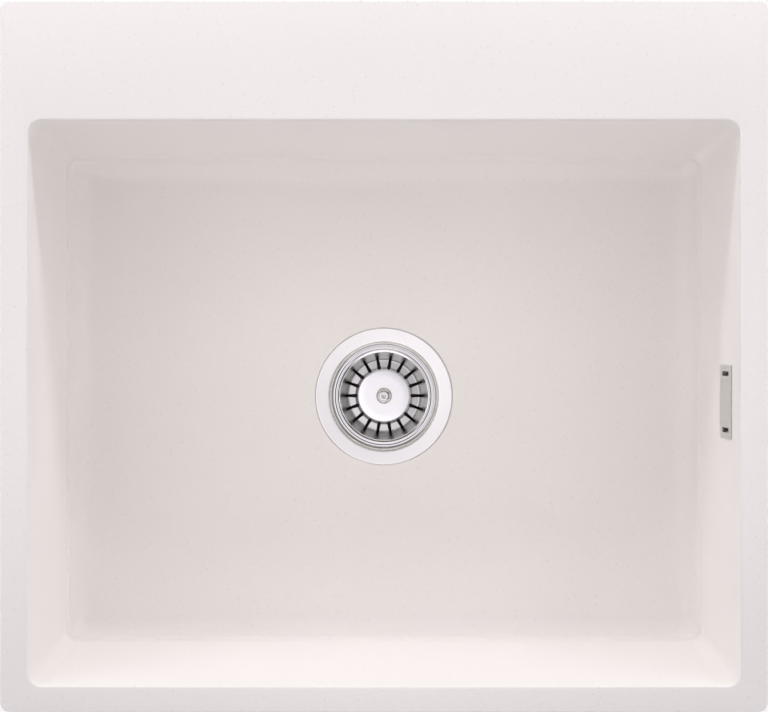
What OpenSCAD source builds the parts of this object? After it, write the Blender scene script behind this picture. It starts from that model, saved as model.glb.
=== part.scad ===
// Granite kitchen sink for laying on a worktop: one square bowl, rear deck, basket strainer waste,
// wall overflow with a flat duct, and eight swing claw clamps.
// Millimetres. Z = 0 is the rim's underside, which lies on the worktop. X = 0 and Y = 0 are the
// middle of the rim's outline. +Y is the rear deck, +X is the side with the overflow.

/* [Rim] */
// Outside width of the rim
rim_w = 550; // [540:5:600]
// Outside depth of the rim, front to back
rim_d = 510; // [500:5:540]
// Thickness of the rim
rim_t = 8; // [7:0.5:10]
// Corner radius of the outline
rim_r = 7; // [5:0.5:9]
// Radius of the rim's outer top edge
rim_edge = 3; // [2:0.5:4]
// Width of the side rims
side_rim = 19.5; // [19.5:0.5:30]
// Width of the front rim
front_rim = 18.5; // [18.5:0.5:30]
// Width of the rear deck
deck_d = 86.5; // [80:0.5:100]

/* [Bowl] */
// Depth from the top of the rim to the waste
bowl_depth = 200; // [180:5:220]
// Height of the ledge at the foot of the walls, below the rim's top
ledge_depth = 158; // [140:1:160]
// Fall of the floor from its edge to the waste
floor_fall = 13; // [8:1:14]
// Corner radius of the bowl's opening
open_r = 10.5; // [8:0.5:14]
// Radius of the opening's top edge
open_edge = 2; // [1:0.5:2.5]
// How far each side wall leans in down to the ledge
side_lean = 2; // [1:0.5:6]
// How far the front wall leans in down to the ledge
front_lean = 9; // [4:0.5:12]
// How far the back wall leans in down to the ledge
back_lean = 10; // [4:0.5:14]
// Width of the ledge
ledge_w = 3; // [2:0.5:5]
// Width of the fillet between ledge and floor
fillet_w = 22; // [18:1:30]
// Thickness of the walls
wall_t = 7; // [6:0.5:7]
// Thickness of the floor at its edge
floor_t = 10; // [8:0.5:12]

/* [Waste] */
// Distance of the waste in front of the outline's middle
waste_y = 33; // [20:1:45]
// Diameter of the waste hole
waste_hole_d = 90; // [89:0.5:91]
// Diameter of the strainer flange
flange_d = 112; // [111:0.5:114]
// Number of slots in the basket
slot_n = 18; // [12:1:18]
// Outer diameter of the threaded outlet
outlet_d = 47.8; // [46:0.1:50]

/* [Overflow] */
// Length of the overflow cover along the wall
cover_l = 55; // [53:0.5:60]
// Height of the overflow cover
cover_h = 43; // [40:0.5:46]
// Depth of the cover's middle below the rim's top
cover_z = 54; // [52:1:60]
// Thickness of the cover plate
cover_t = 1.8; // [1.2:0.1:2]

/* [Clamps] */
// Distance of the side clamps in from the opening's front and back edges
clamp_side_in = 80.5; // [78:0.5:102]
// Distance of the front and rear clamps in from the rim's sides
clamp_in = 110; // [95:1:120]
// Length of a claw from its pivot
claw_l = 32; // [26:1:34]

/* [Hidden] */
// Facets of a full circle on round parts
$fn = 64;
// Steps in each corner of a lofted ring
corner_steps = 6;
// Radial clearance of a turning or sliding shaft
run = 0.06;
// Gap of a soft part above its seat
soft_gap = 0.3;
// Gap along the axis between turning parts
end_gap = 0.1;
// Extra length of a cutting solid
cut = 1;
// Half sizes of the outline
hw = rim_w / 2;
hd = rim_d / 2;
// Opening: half width, front and back edges, below the edge radius
open_x = hw - side_rim;
open_f = -hd + front_rim;
open_b = hd - deck_d;
// Heights of the bowl's stations
ledge_z = rim_t - ledge_depth;
floor_z = rim_t - bowl_depth;
edge_z = floor_z + floor_fall;
// Ledge, outer and inner lines
led_x = open_x - side_lean;
led_f = open_f + front_lean;
led_b = open_b - back_lean;
fil_x = led_x - ledge_w;
fil_f = led_f + ledge_w;
fil_b = led_b - ledge_w;
// Edge of the floor
flo_x = fil_x - fillet_w;
flo_f = fil_f + fillet_w * 0.8;
flo_b = fil_b - fillet_w * 0.93;
// Clamp face, inside the outline by this much
pad_in = 11;
// Skirt under the rear deck: thickness and depth
skirt_t = 8;
skirt_h = 26;
// Rim seal groove
seal_in = 2.5;
seal_w = 5;
seal_t = 1.5;
// Tap knock-outs, from below
knock_r = 17.5;
knock_t = rim_t - 4;
knock_pitch = 130;
knock_y = hd - 43;
// Waste stack, heights from the floor at the waste
wy = -waste_y;
hole_r = waste_hole_d / 2;
flange_r = flange_d / 2;
recess_r = flange_r + 1;
recess_h = 3;
boss_r = 66;
boss_z = floor_z - 13;
low_seal_t = 3;
body_z = boss_z - low_seal_t;
cup_h = 41;
cup_floor = floor_z - cup_h;
sheet = 1;
// Strainer cup: inner radii of its foot and mouth, and its drain holes
cup_r = 36;
cup_mouth = 39;
drain_at = 15.5;
drain_r = 6;
screw_r = 5;
stem_r = 3;
pipe_z = floor_z - 33;
pipe_r = 10;
outlet_r = outlet_d / 2;
hub_l = 22;
hub_end = cup_floor - sheet - hub_l;
nut_h = 8;
// Basket: sheet, radii from the lip inwards, depths of the lip and the disc
basket_t = 0.9;
lip_r = 42.3;
wall_r = 34.6;
ring_r = 29.9;
disc_r = 22;
lip_low = 6;
disc_low = 22;
// Slots: ends and half widths
slot_in = 23.7;
slot_out = 33.6;
slot_bulb = 1.2;
slot_neck = 0.85;
slot_tip = 0.6;
// Stem, its collar under the basket, and the plug stack below it
knob_low = 9;
stem_top = knob_low + 4.5;
stem_low = 49.5;
collar_h = 4.5;
collar_low = disc_low + basket_t + end_gap + collar_h;
plug_r = 27;
plug_lip = 2.8;
plug_t = 3;
washer_t = 0.8;
plug_nut_h = 3.2;
// Waste body: flange, cup, cone and threaded outlet, heights down from its top
waste_wall = 3;
waste_rim = hole_r + 12;
waste_in = hole_r + 1;
waste_cup_h = 30;
waste_cone_h = 48;
waste_h = 79;
thread_l = 25;
bore_r = outlet_r - 3.4;
// Overflow
oy = open_f / 2 + open_b / 2;
oz = rim_t - cover_z;
plate_x = open_x - 1.1;
hole_w = 48;
hole_h = 30;
hole_edge = 4;
ofl_pad = hw - pad_in;
ofl_pad_t = 10;
ofl_pad_w = 66;
ofl_pad_low = 31;
ofl_seal_w = 58;
ofl_seal_h = 40;
ofl_seal = 2;
hous_x = ofl_pad + ofl_seal;
hous_out = hw - 1;
hous_wall = 1.5;
chamber_w = 62;
chamber_h = 50;
chamber_r = 8;
duct_w = 36;
foot_z = pipe_z - 16;
foot_h = 32;
foot_r = 14;
pipe_in = pipe_r - 1.6;
socket_x = 62;
socket_l = 12;
spig_r = 12.4;
foot_l = 36;
box_x = hous_out - foot_l;
spigot_l = 22;
spigot_x = box_x - spigot_l;
pipe_seal_t = 3;
pipe_nut_l = 19;
nut_grip = 13.8;
pin_at = 11.5;
pin_r = 1.6;
pin_l = 8.5;
frame_screw_at = 5;
// Clamps: screw axis from the clamp face, claw and bracket sizes
clamp_front = hw - clamp_in;
clamp_side = (open_b - open_f) / 2 - clamp_side_in;
scr_off = 6;
claw_top = -54;
claw_h = 8;
claw_r = 4;
lug_z = -88;
brk_t = 1.5;
brk_top = -8;
tongue_z = -16;
clamp_r = 3;
neck_r = 2.4;
collar_r = 4.8;
// Clamp places: x, y and the turn of each
places = [
    [hw - pad_in, oy - clamp_side, 0],
    [hw - pad_in, oy + clamp_side, 0],
    [clamp_front, hd - pad_in, 90],
    [-clamp_front, hd - pad_in, 90],
    [-hw + pad_in, oy + clamp_side, 180],
    [-hw + pad_in, oy - clamp_side, 180],
    [-clamp_front, -hd + pad_in, 270],
    [clamp_front, -hd + pad_in, 270]
];

// Colours of the materials
c_stone = [0.90, 0.88, 0.87];
c_steel = [0.72, 0.72, 0.73];
c_rubber = [0.10, 0.10, 0.11];
c_plastic = [0.88, 0.88, 0.86];
c_brass = [0.74, 0.60, 0.32];
c_foam = [0.25, 0.25, 0.26];

// A level ring of points: rounded rectangle from -x to x and from front f to back b
function ring(x, f, b, r, z) = [
    for (q = [0 : 3])
        for (k = [0 : corner_steps])
            let (a = 90 * q + 90 * k / corner_steps,
                 cx = (q == 0 || q == 3) ? x - r : r - x,
                 cy = q < 2 ? b - r : f + r)
            [cx + r * cos(a), cy + r * sin(a), z]
];

function mix(a, b, t) = a + (b - a) * t;

// A solid through a list of rings, lowest ring first
module loft(rings) {
    n = len(rings[0]);
    m = len(rings);
    pts = [for (g = rings) for (p = g) p];
    low = [[for (i = [0 : n - 1]) i]];
    top = [[for (i = [0 : n - 1]) m * n - 1 - i]];
    sides = [
        for (j = [0 : m - 2])
            for (i = [0 : n - 1])
                [j * n + i, j * n + n + i, j * n + n + (i + 1) % n, j * n + (i + 1) % n]
    ];
    polyhedron(points = pts, faces = concat(low, sides, top), convexity = 6);
}

// A block with rounded corners, length along Y, height along Z, from x0 to x1
module slab_x(x0, x1, w, h, r) {
    translate([x0, 0, 0])
        rotate([90, 0, 90])
            linear_extrude(x1 - x0)
                round_rect(w, h, r);
}

// A rounded rectangle from plain shapes
module round_rect(w, h, r) {
    square([w - 2 * r, h], center = true);
    square([w, h - 2 * r], center = true);
    for (sx = [-1, 1])
        for (sy = [-1, 1])
            translate([sx * (w / 2 - r), sy * (h / 2 - r)])
                circle(r);
}

// A ring plate in plan, between two rounded rectangles
module frame_strip(in0, in1, z0, z1) {
    translate([0, 0, z0])
        linear_extrude(z1 - z0)
            difference() {
                round_rect(rim_w - 2 * in0, rim_d - 2 * in0, rim_r - in0);
                round_rect(rim_w - 2 * in1, rim_d - 2 * in1, max(0.5, rim_r - in1 + 3));
            }
}

// The rim slab, with its rounded outer top edge
module rim_solid() {
    loft(concat(
        [ring(hw, -hd, hd, rim_r, 0)],
        [for (a = [0 : 22.5 : 90])
            let (i = rim_edge * (1 - cos(a)))
            ring(hw - i, -hd + i, hd - i, rim_r - i, rim_t - rim_edge + rim_edge * sin(a))]
    ));
}

// The outside of the bowl, from the floor to inside the rim
module bowl_outside() {
    lip = 3;
    loft(concat(
        [ring(boss_r, wy - boss_r, wy + boss_r, boss_r - 1, boss_z)],
        [for (a = [0 : 15 : 90])
            let (s = sin(a),
                 zz = edge_z - floor_t + (ledge_z - 5 - edge_z + floor_t) * (1 - cos(a)))
            ring(mix(flo_x + lip, led_x + wall_t, s), mix(flo_f - lip, led_f - wall_t, s),
                 mix(flo_b + lip, led_b + wall_t, s), mix(20, 16, s), zz)],
        [ring(open_x + wall_t, open_f - wall_t, open_b + wall_t, open_r + wall_t - 1, rim_t / 2)]
    ));
}

// The space inside the bowl
module bowl_inside() {
    dr = recess_r + 0.5;
    loft(concat(
        [for (t = [0 : 0.2 : 0.81])
            ring(mix(dr, flo_x, t), mix(wy - dr, flo_f, t), mix(wy + dr, flo_b, t),
                 mix(recess_r, 12, t), mix(floor_z, edge_z, t))],
        [for (a = [0 : 15 : 90])
            let (s = sin(a))
            ring(mix(flo_x, fil_x, s), mix(flo_f, fil_f, s), mix(flo_b, fil_b, s),
                 mix(12, 8, s), mix(edge_z, ledge_z - 0.5, 1 - cos(a)))],
        [ring(led_x, led_f, led_b, 9, ledge_z)],
        [for (a = [0 : 22.5 : 90])
            let (i = open_edge * (1 - cos(a)))
            ring(open_x + i, open_f - i, open_b + i, open_r + i,
                 rim_t - open_edge + open_edge * sin(a))],
        [ring(open_x + open_edge, open_f - open_edge, open_b + open_edge,
              open_r + open_edge, rim_t + cut)]
    ));
}

// The skirt and ribs under the rear deck
module deck_skirt() {
    y0 = open_b - 6;
    y1 = hd - pad_in;
    x1 = hw - pad_in;
    difference() {
        translate([-x1, y0, -skirt_h])
            cube([2 * x1, y1 - y0, skirt_h + rim_t / 2]);
        translate([-x1 + skirt_t, y0 - cut, -skirt_h - cut])
            cube([2 * x1 - 2 * skirt_t, y1 - y0 - skirt_t + cut, skirt_h + cut]);
    }
    for (s = [-1, 1])
        translate([s * knock_pitch / 2 - 3, open_b, -18])
            cube([6, y1 - open_b - 2, 18 + rim_t / 2]);
}

// A flat pad for one clamp, on the outside of a wall
module clamp_pad() {
    translate([-10, -13, -30])
        cube([10, 26, 30 + rim_t / 2]);
}

// The pocket for one bracket's tongue
module clamp_pocket() {
    translate([-5, -8.25, tongue_z - 0.25])
        cube([5 + cut, 16.5, 2]);
}

module bowl() {
    color(c_stone)
        difference() {
            union() {
                rim_solid();
                bowl_outside();
                deck_skirt();
                for (p = places)
                    if (p[2] != 90)
                        translate([p[0], p[1], 0])
                            rotate([0, 0, p[2]])
                                clamp_pad();
                translate([ofl_pad - ofl_pad_t, oy - ofl_pad_w / 2, oz - ofl_pad_low])
                    cube([ofl_pad_t, ofl_pad_w, rim_t / 2 - oz + ofl_pad_low]);
                translate([0, wy, boss_z])
                    cylinder(r = boss_r, h = 12);
            }
            bowl_inside();
            translate([0, wy, floor_z - recess_h])
                cylinder(r = recess_r, h = recess_h + cut);
            translate([0, wy, boss_z - cut])
                cylinder(r = hole_r, h = 20);
            for (i = [-1 : 1])
                translate([i * knock_pitch, knock_y, -cut])
                    cylinder(r = knock_r, h = knock_t + cut);
            translate([0, oy, oz])
                slab_x(open_x - 20, ofl_pad + cut, hole_w, hole_h, hole_edge);
            for (p = places)
                translate([p[0], p[1], 0])
                    rotate([0, 0, p[2]])
                        clamp_pocket();
            frame_strip(seal_in, seal_in + seal_w, -cut, seal_t);
        }
}

module rim_seal() {
    color(c_foam)
        frame_strip(seal_in, seal_in + seal_w, 0, seal_t);
}

// Strainer cup: profile in radius and height above the floor at the waste
module strainer_cup() {
    t = sheet;
    color(c_steel)
        translate([0, wy, floor_z])
            difference() {
                rotate_extrude()
                    polygon([
                        [screw_r + 0.2, -cup_h], [cup_r - 1.2, -cup_h], [cup_r, -cup_h + 1.2],
                        [cup_mouth - 0.4, -13], [cup_mouth, -11],
                        [hole_r - 2, -8], [hole_r - 2, -3.2], [hole_r - 1.6, -1.7],
                        [hole_r - 0.5, -0.6], [hole_r + 1, -0.2], [flange_r - 1, -0.2],
                        [flange_r, -1], [flange_r, -2], [flange_r - 0.8, -2],
                        [flange_r - 1.2, -1.2], [hole_r + 1.1, -1.2], [hole_r + 0.3, -1.5],
                        [hole_r - 0.7, -2.3], [hole_r - 1, -3.2], [hole_r - 1, -8.6],
                        [cup_mouth + t, -11.6], [cup_mouth + 0.6, -13.2], [cup_r + 0.9, -cup_h + 0.6],
                        [cup_r - 0.7, -cup_h - t], [screw_r + 0.2, -cup_h - t]
                    ]);
                for (k = [0 : 5])
                    rotate([0, 0, 60 * k])
                        translate([drain_at, 0, -cup_h - t - cut])
                            cylinder(r = drain_r, h = t + 2 * cut, $fn = 32);
            }
}

module flange_seal() {
    color(c_rubber)
        translate([0, wy, floor_z - recess_h])
            difference() {
                cylinder(r = flange_r - 1.5, h = recess_h - 0.2 - sheet);
                translate([0, 0, -cut])
                    cylinder(r = hole_r + 1.2, h = recess_h + 2 * cut);
            }
}

module lower_seal() {
    color(c_rubber)
        translate([0, wy, body_z])
            difference() {
                cylinder(r = waste_rim - 0.5, h = low_seal_t);
                translate([0, 0, -cut])
                    cylinder(r = hole_r + 1, h = low_seal_t + 2 * cut);
            }
}

// Outside of the waste body as a revolved solid
module waste_outside() {
    rotate_extrude()
        polygon([
            [0, body_z], [waste_rim, body_z], [waste_rim, body_z - 4],
            [waste_in + waste_wall, body_z - 6], [waste_in + waste_wall, body_z - waste_cup_h],
            [outlet_r + 2.5, body_z - waste_cone_h], [outlet_r + 2.5, body_z - waste_h + thread_l],
            [outlet_r, body_z - waste_h + thread_l], [outlet_r, body_z - waste_h],
            [0, body_z - waste_h]
        ]);
}

module waste_inside() {
    rotate_extrude()
        polygon([
            [0, body_z + cut], [waste_in, body_z + cut], [waste_in, body_z - waste_cup_h + 1],
            [bore_r, body_z - waste_cone_h], [bore_r, body_z - waste_h - cut],
            [0, body_z - waste_h - cut]
        ]);
}

// Ribs between the flange and the cup of the waste body
module waste_ribs() {
    for (k = [0 : 7])
        rotate([0, 0, 22.5 + 45 * k])
            translate([waste_in + 1, 1.2, body_z - 3.5])
                rotate([90, 0, 0])
                    linear_extrude(2.4)
                        polygon([[0, 0], [waste_rim - waste_in - 3, 0], [0, -14]]);
}

module waste_body() {
    hub_top = cup_floor - sheet;
    color(c_plastic)
        translate([0, wy, 0])
            difference() {
                union() {
                    difference() {
                        union() {
                            waste_outside();
                            waste_ribs();
                            translate([0, 0, pipe_z])
                                rotate([0, 90, 0])
                                    cylinder(r = spig_r, h = socket_x + socket_l);
                        }
                        waste_inside();
                        translate([0, 0, pipe_z])
                            rotate([0, 90, 0])
                                cylinder(r = pipe_in, h = socket_x + socket_l + cut);
                    }
                    translate([0, 0, hub_top - 14])
                        cylinder(r = 8.6, h = 14);
                    translate([0, 0, hub_end])
                        cylinder(r = 12, h = hub_top - 12 - hub_end);
                    intersection() {
                        waste_outside();
                        for (k = [0 : 2])
                            rotate([0, 0, 60 + 120 * k])
                                translate([7, -2.5, hub_end + nut_h])
                                    cube([waste_in, 5, 8]);
                    }
                }
                translate([socket_x, 0, pipe_z])
                    rotate([0, 90, 0])
                        cylinder(r = pipe_r + 0.1, h = socket_l + cut);
                translate([0, 0, hub_end - cut])
                    cylinder(r = screw_r + 0.1, h = 40);
                translate([0, 0, hub_end - cut])
                    cylinder(r = 9.9, h = nut_h + cut, $fn = 6);
            }
}

module waste_screw() {
    color(c_steel)
        translate([0, wy, cup_floor])
            difference() {
                union() {
                    cylinder(r = 6.8, h = 5);
                    translate([0, 0, -hub_l])
                        cylinder(r = screw_r, h = hub_l + 1);
                }
                translate([0, 0, -10])
                    cylinder(r = stem_r + run, h = 20);
                translate([-8, -1, 3.4])
                    cube([16, 2, 3]);
            }
}

module waste_nut() {
    color(c_brass)
        translate([0, wy, hub_end])
            difference() {
                cylinder(r = 9.8, h = nut_h, $fn = 6);
                translate([0, 0, -cut])
                    cylinder(r = screw_r + 0.05, h = 10);
            }
}

// One keyhole slot of the basket, seen from above along +X: round inner end, tapering neck
module slot_outline() {
    translate([slot_in, 0])
        circle(r = slot_bulb, $fn = 24);
    translate([slot_out, 0])
        circle(r = slot_tip, $fn = 16);
    polygon([
        [slot_in, -slot_neck], [slot_out, -slot_tip], [slot_out, slot_tip], [slot_in, slot_neck]
    ]);
}

// Basket: profile in radius and height above the floor at the waste. From the centre: disc, low
// ring, steep wall and a lip with two ridges
module basket() {
    color(c_steel)
        translate([0, wy, floor_z])
            difference() {
                rotate_extrude()
                    polygon([
                        [stem_r + run, -disc_low], [disc_r - 0.6, -disc_low],
                        [disc_r, -disc_low - 0.5], [disc_r + 0.8, -disc_low - 3.3],
                        [ring_r - 1.3, -disc_low - 4.2], [ring_r, -disc_low - 3],
                        [wall_r, -lip_low - 6], [wall_r + 0.9, -lip_low - 1.6],
                        [lip_r - 6.1, -lip_low - 0.7], [lip_r - 4.3, -lip_low],
                        [lip_r - 3, -lip_low - 0.4], [lip_r - 1.7, -lip_low],
                        [lip_r, -lip_low - 0.6], [lip_r, -lip_low - 2.1],
                        [lip_r - 0.9, -lip_low - 2.1], [lip_r - 1, -lip_low - 1.1],
                        [lip_r - 1.9, -lip_low - 0.95], [lip_r - 3.1, -lip_low - 1.35],
                        [lip_r - 4.3, -lip_low - 1], [lip_r - 5.4, -lip_low - 1.4],
                        [lip_r - 6, -lip_low - 2.2], [wall_r + 0.9, -lip_low - 6.4],
                        [ring_r + 0.8, -disc_low - 3.6], [ring_r - 1, -disc_low - 5.1],
                        [disc_r + 0.1, -disc_low - 4.2], [disc_r - 0.7, -disc_low - basket_t],
                        [stem_r + run, -disc_low - basket_t]
                    ]);
                for (k = [0 : slot_n - 1])
                    rotate([0, 0, 360 / slot_n * k])
                        translate([0, 0, -disc_low - 8])
                            linear_extrude(25)
                                slot_outline();
            }
}

module basket_stem() {
    color(c_steel)
        translate([0, wy, floor_z]) {
            translate([0, 0, -stem_low])
                cylinder(r = stem_r, h = stem_low - stem_top);
            translate([0, 0, -collar_low])
                cylinder(r = stem_r + 2, h = collar_h);
        }
}

module basket_knob() {
    color(c_steel)
        translate([0, wy, floor_z])
            difference() {
                rotate_extrude()
                    polygon([
                        [0, -knob_low - 1.3], [1, -knob_low - 1.1], [2, -knob_low - 0.2],
                        [3.2, -knob_low], [4.4, -knob_low - 0.3], [5.5, -knob_low - 1],
                        [6.2, -knob_low - 1.9], [6.5, -knob_low - 3], [6.5, -knob_low - 4],
                        [5.6, -knob_low - 5.4], [4.4, -knob_low - 6.6], [4, -knob_low - 8.4],
                        [4.2, -disc_low + 2.4], [5.6, -disc_low + 1],
                        [5.8, -disc_low + end_gap], [0, -disc_low + end_gap]
                    ]);
                translate([0, 0, -disc_low - cut])
                    cylinder(r = stem_r, h = disc_low + cut - stem_top);
            }
}

module basket_plug() {
    z1 = -cup_h + soft_gap;
    z2 = -collar_low - plug_t;
    color(c_rubber)
        translate([0, wy, floor_z])
            rotate_extrude()
                polygon([
                    [stem_r, -collar_low], [plug_r - 6, -collar_low], [plug_r - 2, -collar_low - 2],
                    [plug_r, -collar_low - 6.5], [plug_r, z1 + 0.8], [plug_r - 0.8, z1],
                    [plug_r - plug_lip, z1], [plug_r - plug_lip, z2 - 2.5], [plug_r - 5, z2],
                    [stem_r, z2]
                ]);
}

module plug_washer() {
    color(c_steel)
        translate([0, wy, floor_z - collar_low - plug_t - washer_t])
            difference() {
                cylinder(r = 8, h = washer_t);
                translate([0, 0, -cut])
                    cylinder(r = stem_r + 0.05, h = 3);
            }
}

module plug_nut() {
    color(c_brass)
        translate([0, wy, floor_z - collar_low - plug_t - washer_t - plug_nut_h])
            difference() {
                cylinder(r = 5.77, h = plug_nut_h, $fn = 6);
                translate([0, 0, -cut])
                    cylinder(r = stem_r + 0.02, h = 6);
            }
}

// Overflow cover: plate with two slots and two plug-in pins
module overflow_cover() {
    color(c_steel)
        difference() {
            union() {
                translate([0, oy, oz])
                    slab_x(plate_x - cover_t, plate_x, cover_l, cover_h, 2);
                for (s = [-1, 1])
                    translate([plate_x - 0.5, oy, oz + s * pin_at])
                        rotate([0, 90, 0])
                            cylinder(r = pin_r, h = pin_l, $fn = 32);
            }
            for (s = [-1, 1])
                translate([plate_x - cover_t - cut, oy + s * 20.9 - 1.7, oz - 10])
                    cube([cover_t + 2 * cut, 3.4, 24]);
        }
}

// Overflow frame: open box in the wall with a centre bar
module overflow_frame() {
    x0 = plate_x + 2.3;
    color(c_plastic)
        translate([0, oy, oz])
            difference() {
                union() {
                    difference() {
                        slab_x(x0, hous_x, hole_w - 0.4, hole_h - 0.4, hole_edge - 0.2);
                        slab_x(x0 - cut, hous_x + cut, hole_w - 3.4, hole_h - 3.4, hole_edge - 1.7);
                    }
                    translate([x0, -4, -hole_h / 2 + 1])
                        cube([5, 8, hole_h - 2]);
                }
                for (s = [-1, 1]) {
                    translate([x0 - cut, 0, s * pin_at])
                        rotate([0, 90, 0])
                            cylinder(r = pin_r + run, h = 8, $fn = 32);
                    translate([x0 - cut, 0, s * frame_screw_at])
                        rotate([0, 90, 0])
                            cylinder(r = 2.1, h = 8, $fn = 32);
                    translate([x0 - cut, 0, s * frame_screw_at])
                        rotate([0, 90, 0])
                            cylinder(r = 3.7, h = 3.2, $fn = 32);
                }
            }
}

module overflow_screws() {
    x0 = plate_x + 2.3;
    color(c_steel)
        for (s = [-1, 1])
            translate([x0, oy, oz + s * frame_screw_at])
                rotate([0, 90, 0])
                    difference() {
                        union() {
                            translate([0, 0, 0.2])
                                cylinder(r = 3.5, h = 2, $fn = 32);
                            translate([0, 0, 2])
                                cylinder(r = 2, h = hous_x + 3.5 - x0, $fn = 32);
                        }
                        translate([-4, -0.4, -0.5])
                            cube([8, 0.8, 1.5]);
                    }
}

module overflow_seal() {
    color(c_rubber)
        translate([0, oy, oz])
            difference() {
                slab_x(ofl_pad, hous_x, ofl_seal_w, ofl_seal_h, chamber_r);
                slab_x(ofl_pad - cut, hous_x + cut, hole_w + 2, hole_h + 2, hole_edge + 1);
            }
}

// A flat piece across X from x0 to x1, drawn as its outline in Y and Z
module across_x(x0, x1) {
    translate([x0, 0, 0])
        rotate([90, 0, 90])
            linear_extrude(x1 - x0)
                children();
}

// Outline of the duct in Y and Z: shoulders under the chamber, then a straight run to the foot.
// g is the inset from the outside
module duct_outline(g) {
    w1 = chamber_w / 2 - chamber_r - g;
    w2 = duct_w / 2 - g;
    translate([oy, 0])
        polygon([
            [-w1, oz - 14], [-w2, oz - chamber_h / 2 - 18], [-w2, foot_z + foot_r],
            [w2, foot_z + foot_r], [w2, oz - chamber_h / 2 - 18], [w1, oz - 14]
        ]);
}

// Points of a quarter circle from angle a0
function quarter(c, r, a0) =
    [for (k = [0 : 6]) c + r * [cos(a0 + 15 * k), sin(a0 + 15 * k)]];

// Outline of the foot in X and Z: a bend from the duct into the pipe spigot
module foot_outline(g) {
    polygon(concat(
        quarter([hous_out - foot_r, foot_z + foot_r], foot_r - g, 270),
        [[hous_out - g, foot_z + foot_h], [box_x + 6, foot_z + foot_h - g]],
        quarter([box_x + 6, foot_z + foot_h - 6], 6 - g, 90),
        quarter([box_x + 6, foot_z + 6], 6 - g, 180)
    ));
}

module foot_block(g) {
    translate([0, oy + duct_w / 2 - g, 0])
        rotate([90, 0, 0])
            linear_extrude(duct_w - 2 * g)
                foot_outline(g);
}

// Overflow housing: flat chamber, flat duct down the wall, bent foot with a pipe spigot
module overflow_housing() {
    w = hous_wall;
    color(c_plastic)
        difference() {
            union() {
                translate([0, oy, oz])
                    slab_x(hous_x, hous_out, chamber_w, chamber_h, chamber_r);
                across_x(hous_x, hous_out)
                    duct_outline(0);
                foot_block(0);
                translate([spigot_x, wy, pipe_z])
                    rotate([0, 90, 0])
                        cylinder(r = spig_r, h = spigot_l + cut);
            }
            difference() {
                union() {
                    translate([0, oy, oz])
                        slab_x(hous_x + w, hous_out - w, chamber_w - 2 * w, chamber_h - 2 * w,
                            chamber_r - w);
                    across_x(hous_x + w, hous_out - w)
                        duct_outline(w);
                    foot_block(w);
                    translate([0, oy, oz])
                        slab_x(hous_x - cut, hous_x + w + cut, hole_w, hole_h, hole_edge);
                }
                for (s = [-1, 1])
                    translate([hous_x, oy, oz + s * frame_screw_at])
                        rotate([0, 90, 0])
                            cylinder(r = 4, h = hous_out - hous_x, $fn = 32);
            }
            for (s = [-1, 1])
                translate([hous_x - cut, oy, oz + s * frame_screw_at])
                    rotate([0, 90, 0])
                        cylinder(r = 2, h = 6.5, $fn = 32);
            translate([spigot_x - cut, wy, pipe_z])
                rotate([0, 90, 0])
                    cylinder(r = pipe_in, h = spigot_l + 4);
            translate([spigot_x - cut, wy, pipe_z])
                rotate([0, 90, 0])
                    cylinder(r = pipe_r + 0.1, h = cut + socket_l);
        }
}

module overflow_pipe() {
    x0 = socket_x + 1;
    x1 = spigot_x + socket_l - 1;
    color(c_plastic)
        translate([x0, wy, pipe_z])
            rotate([0, 90, 0])
                difference() {
                    cylinder(r = pipe_r, h = x1 - x0);
                    translate([0, 0, -cut])
                        cylinder(r = pipe_in, h = x1 - x0 + 2 * cut);
                }
}

// Pipe nut along Z, open end at 0
module pipe_nut() {
    difference() {
        union() {
            cylinder(r = spig_r + 3.2, h = pipe_nut_l);
            for (k = [0 : 11])
                rotate([0, 0, 30 * k])
                    translate([spig_r + 2.8, 0, 0])
                        cylinder(r = 1.4, h = pipe_nut_l - 4, $fn = 12);
        }
        translate([0, 0, -cut])
            cylinder(r = spig_r + 0.1, h = pipe_nut_l - 2 + cut);
        translate([0, 0, pipe_nut_l - 9])
            cylinder(r = pipe_r + 0.2, h = 9 + cut);
    }
}

module overflow_nut_waste() {
    color(c_plastic)
        translate([socket_x + socket_l - nut_grip, wy, pipe_z])
            rotate([0, 90, 0])
                pipe_nut();
}

module overflow_nut_housing() {
    color(c_plastic)
        translate([spigot_x + nut_grip, wy, pipe_z])
            rotate([0, -90, 0])
                pipe_nut();
}

module overflow_washers() {
    xs = [socket_x + socket_l, spigot_x - pipe_seal_t];
    color(c_rubber)
        for (x = xs)
            translate([x, wy, pipe_z])
                rotate([0, 90, 0])
                    difference() {
                        cylinder(r = spig_r, h = pipe_seal_t);
                        translate([0, 0, -cut])
                            cylinder(r = pipe_r, h = pipe_seal_t + 2 * cut);
                    }
}

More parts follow.
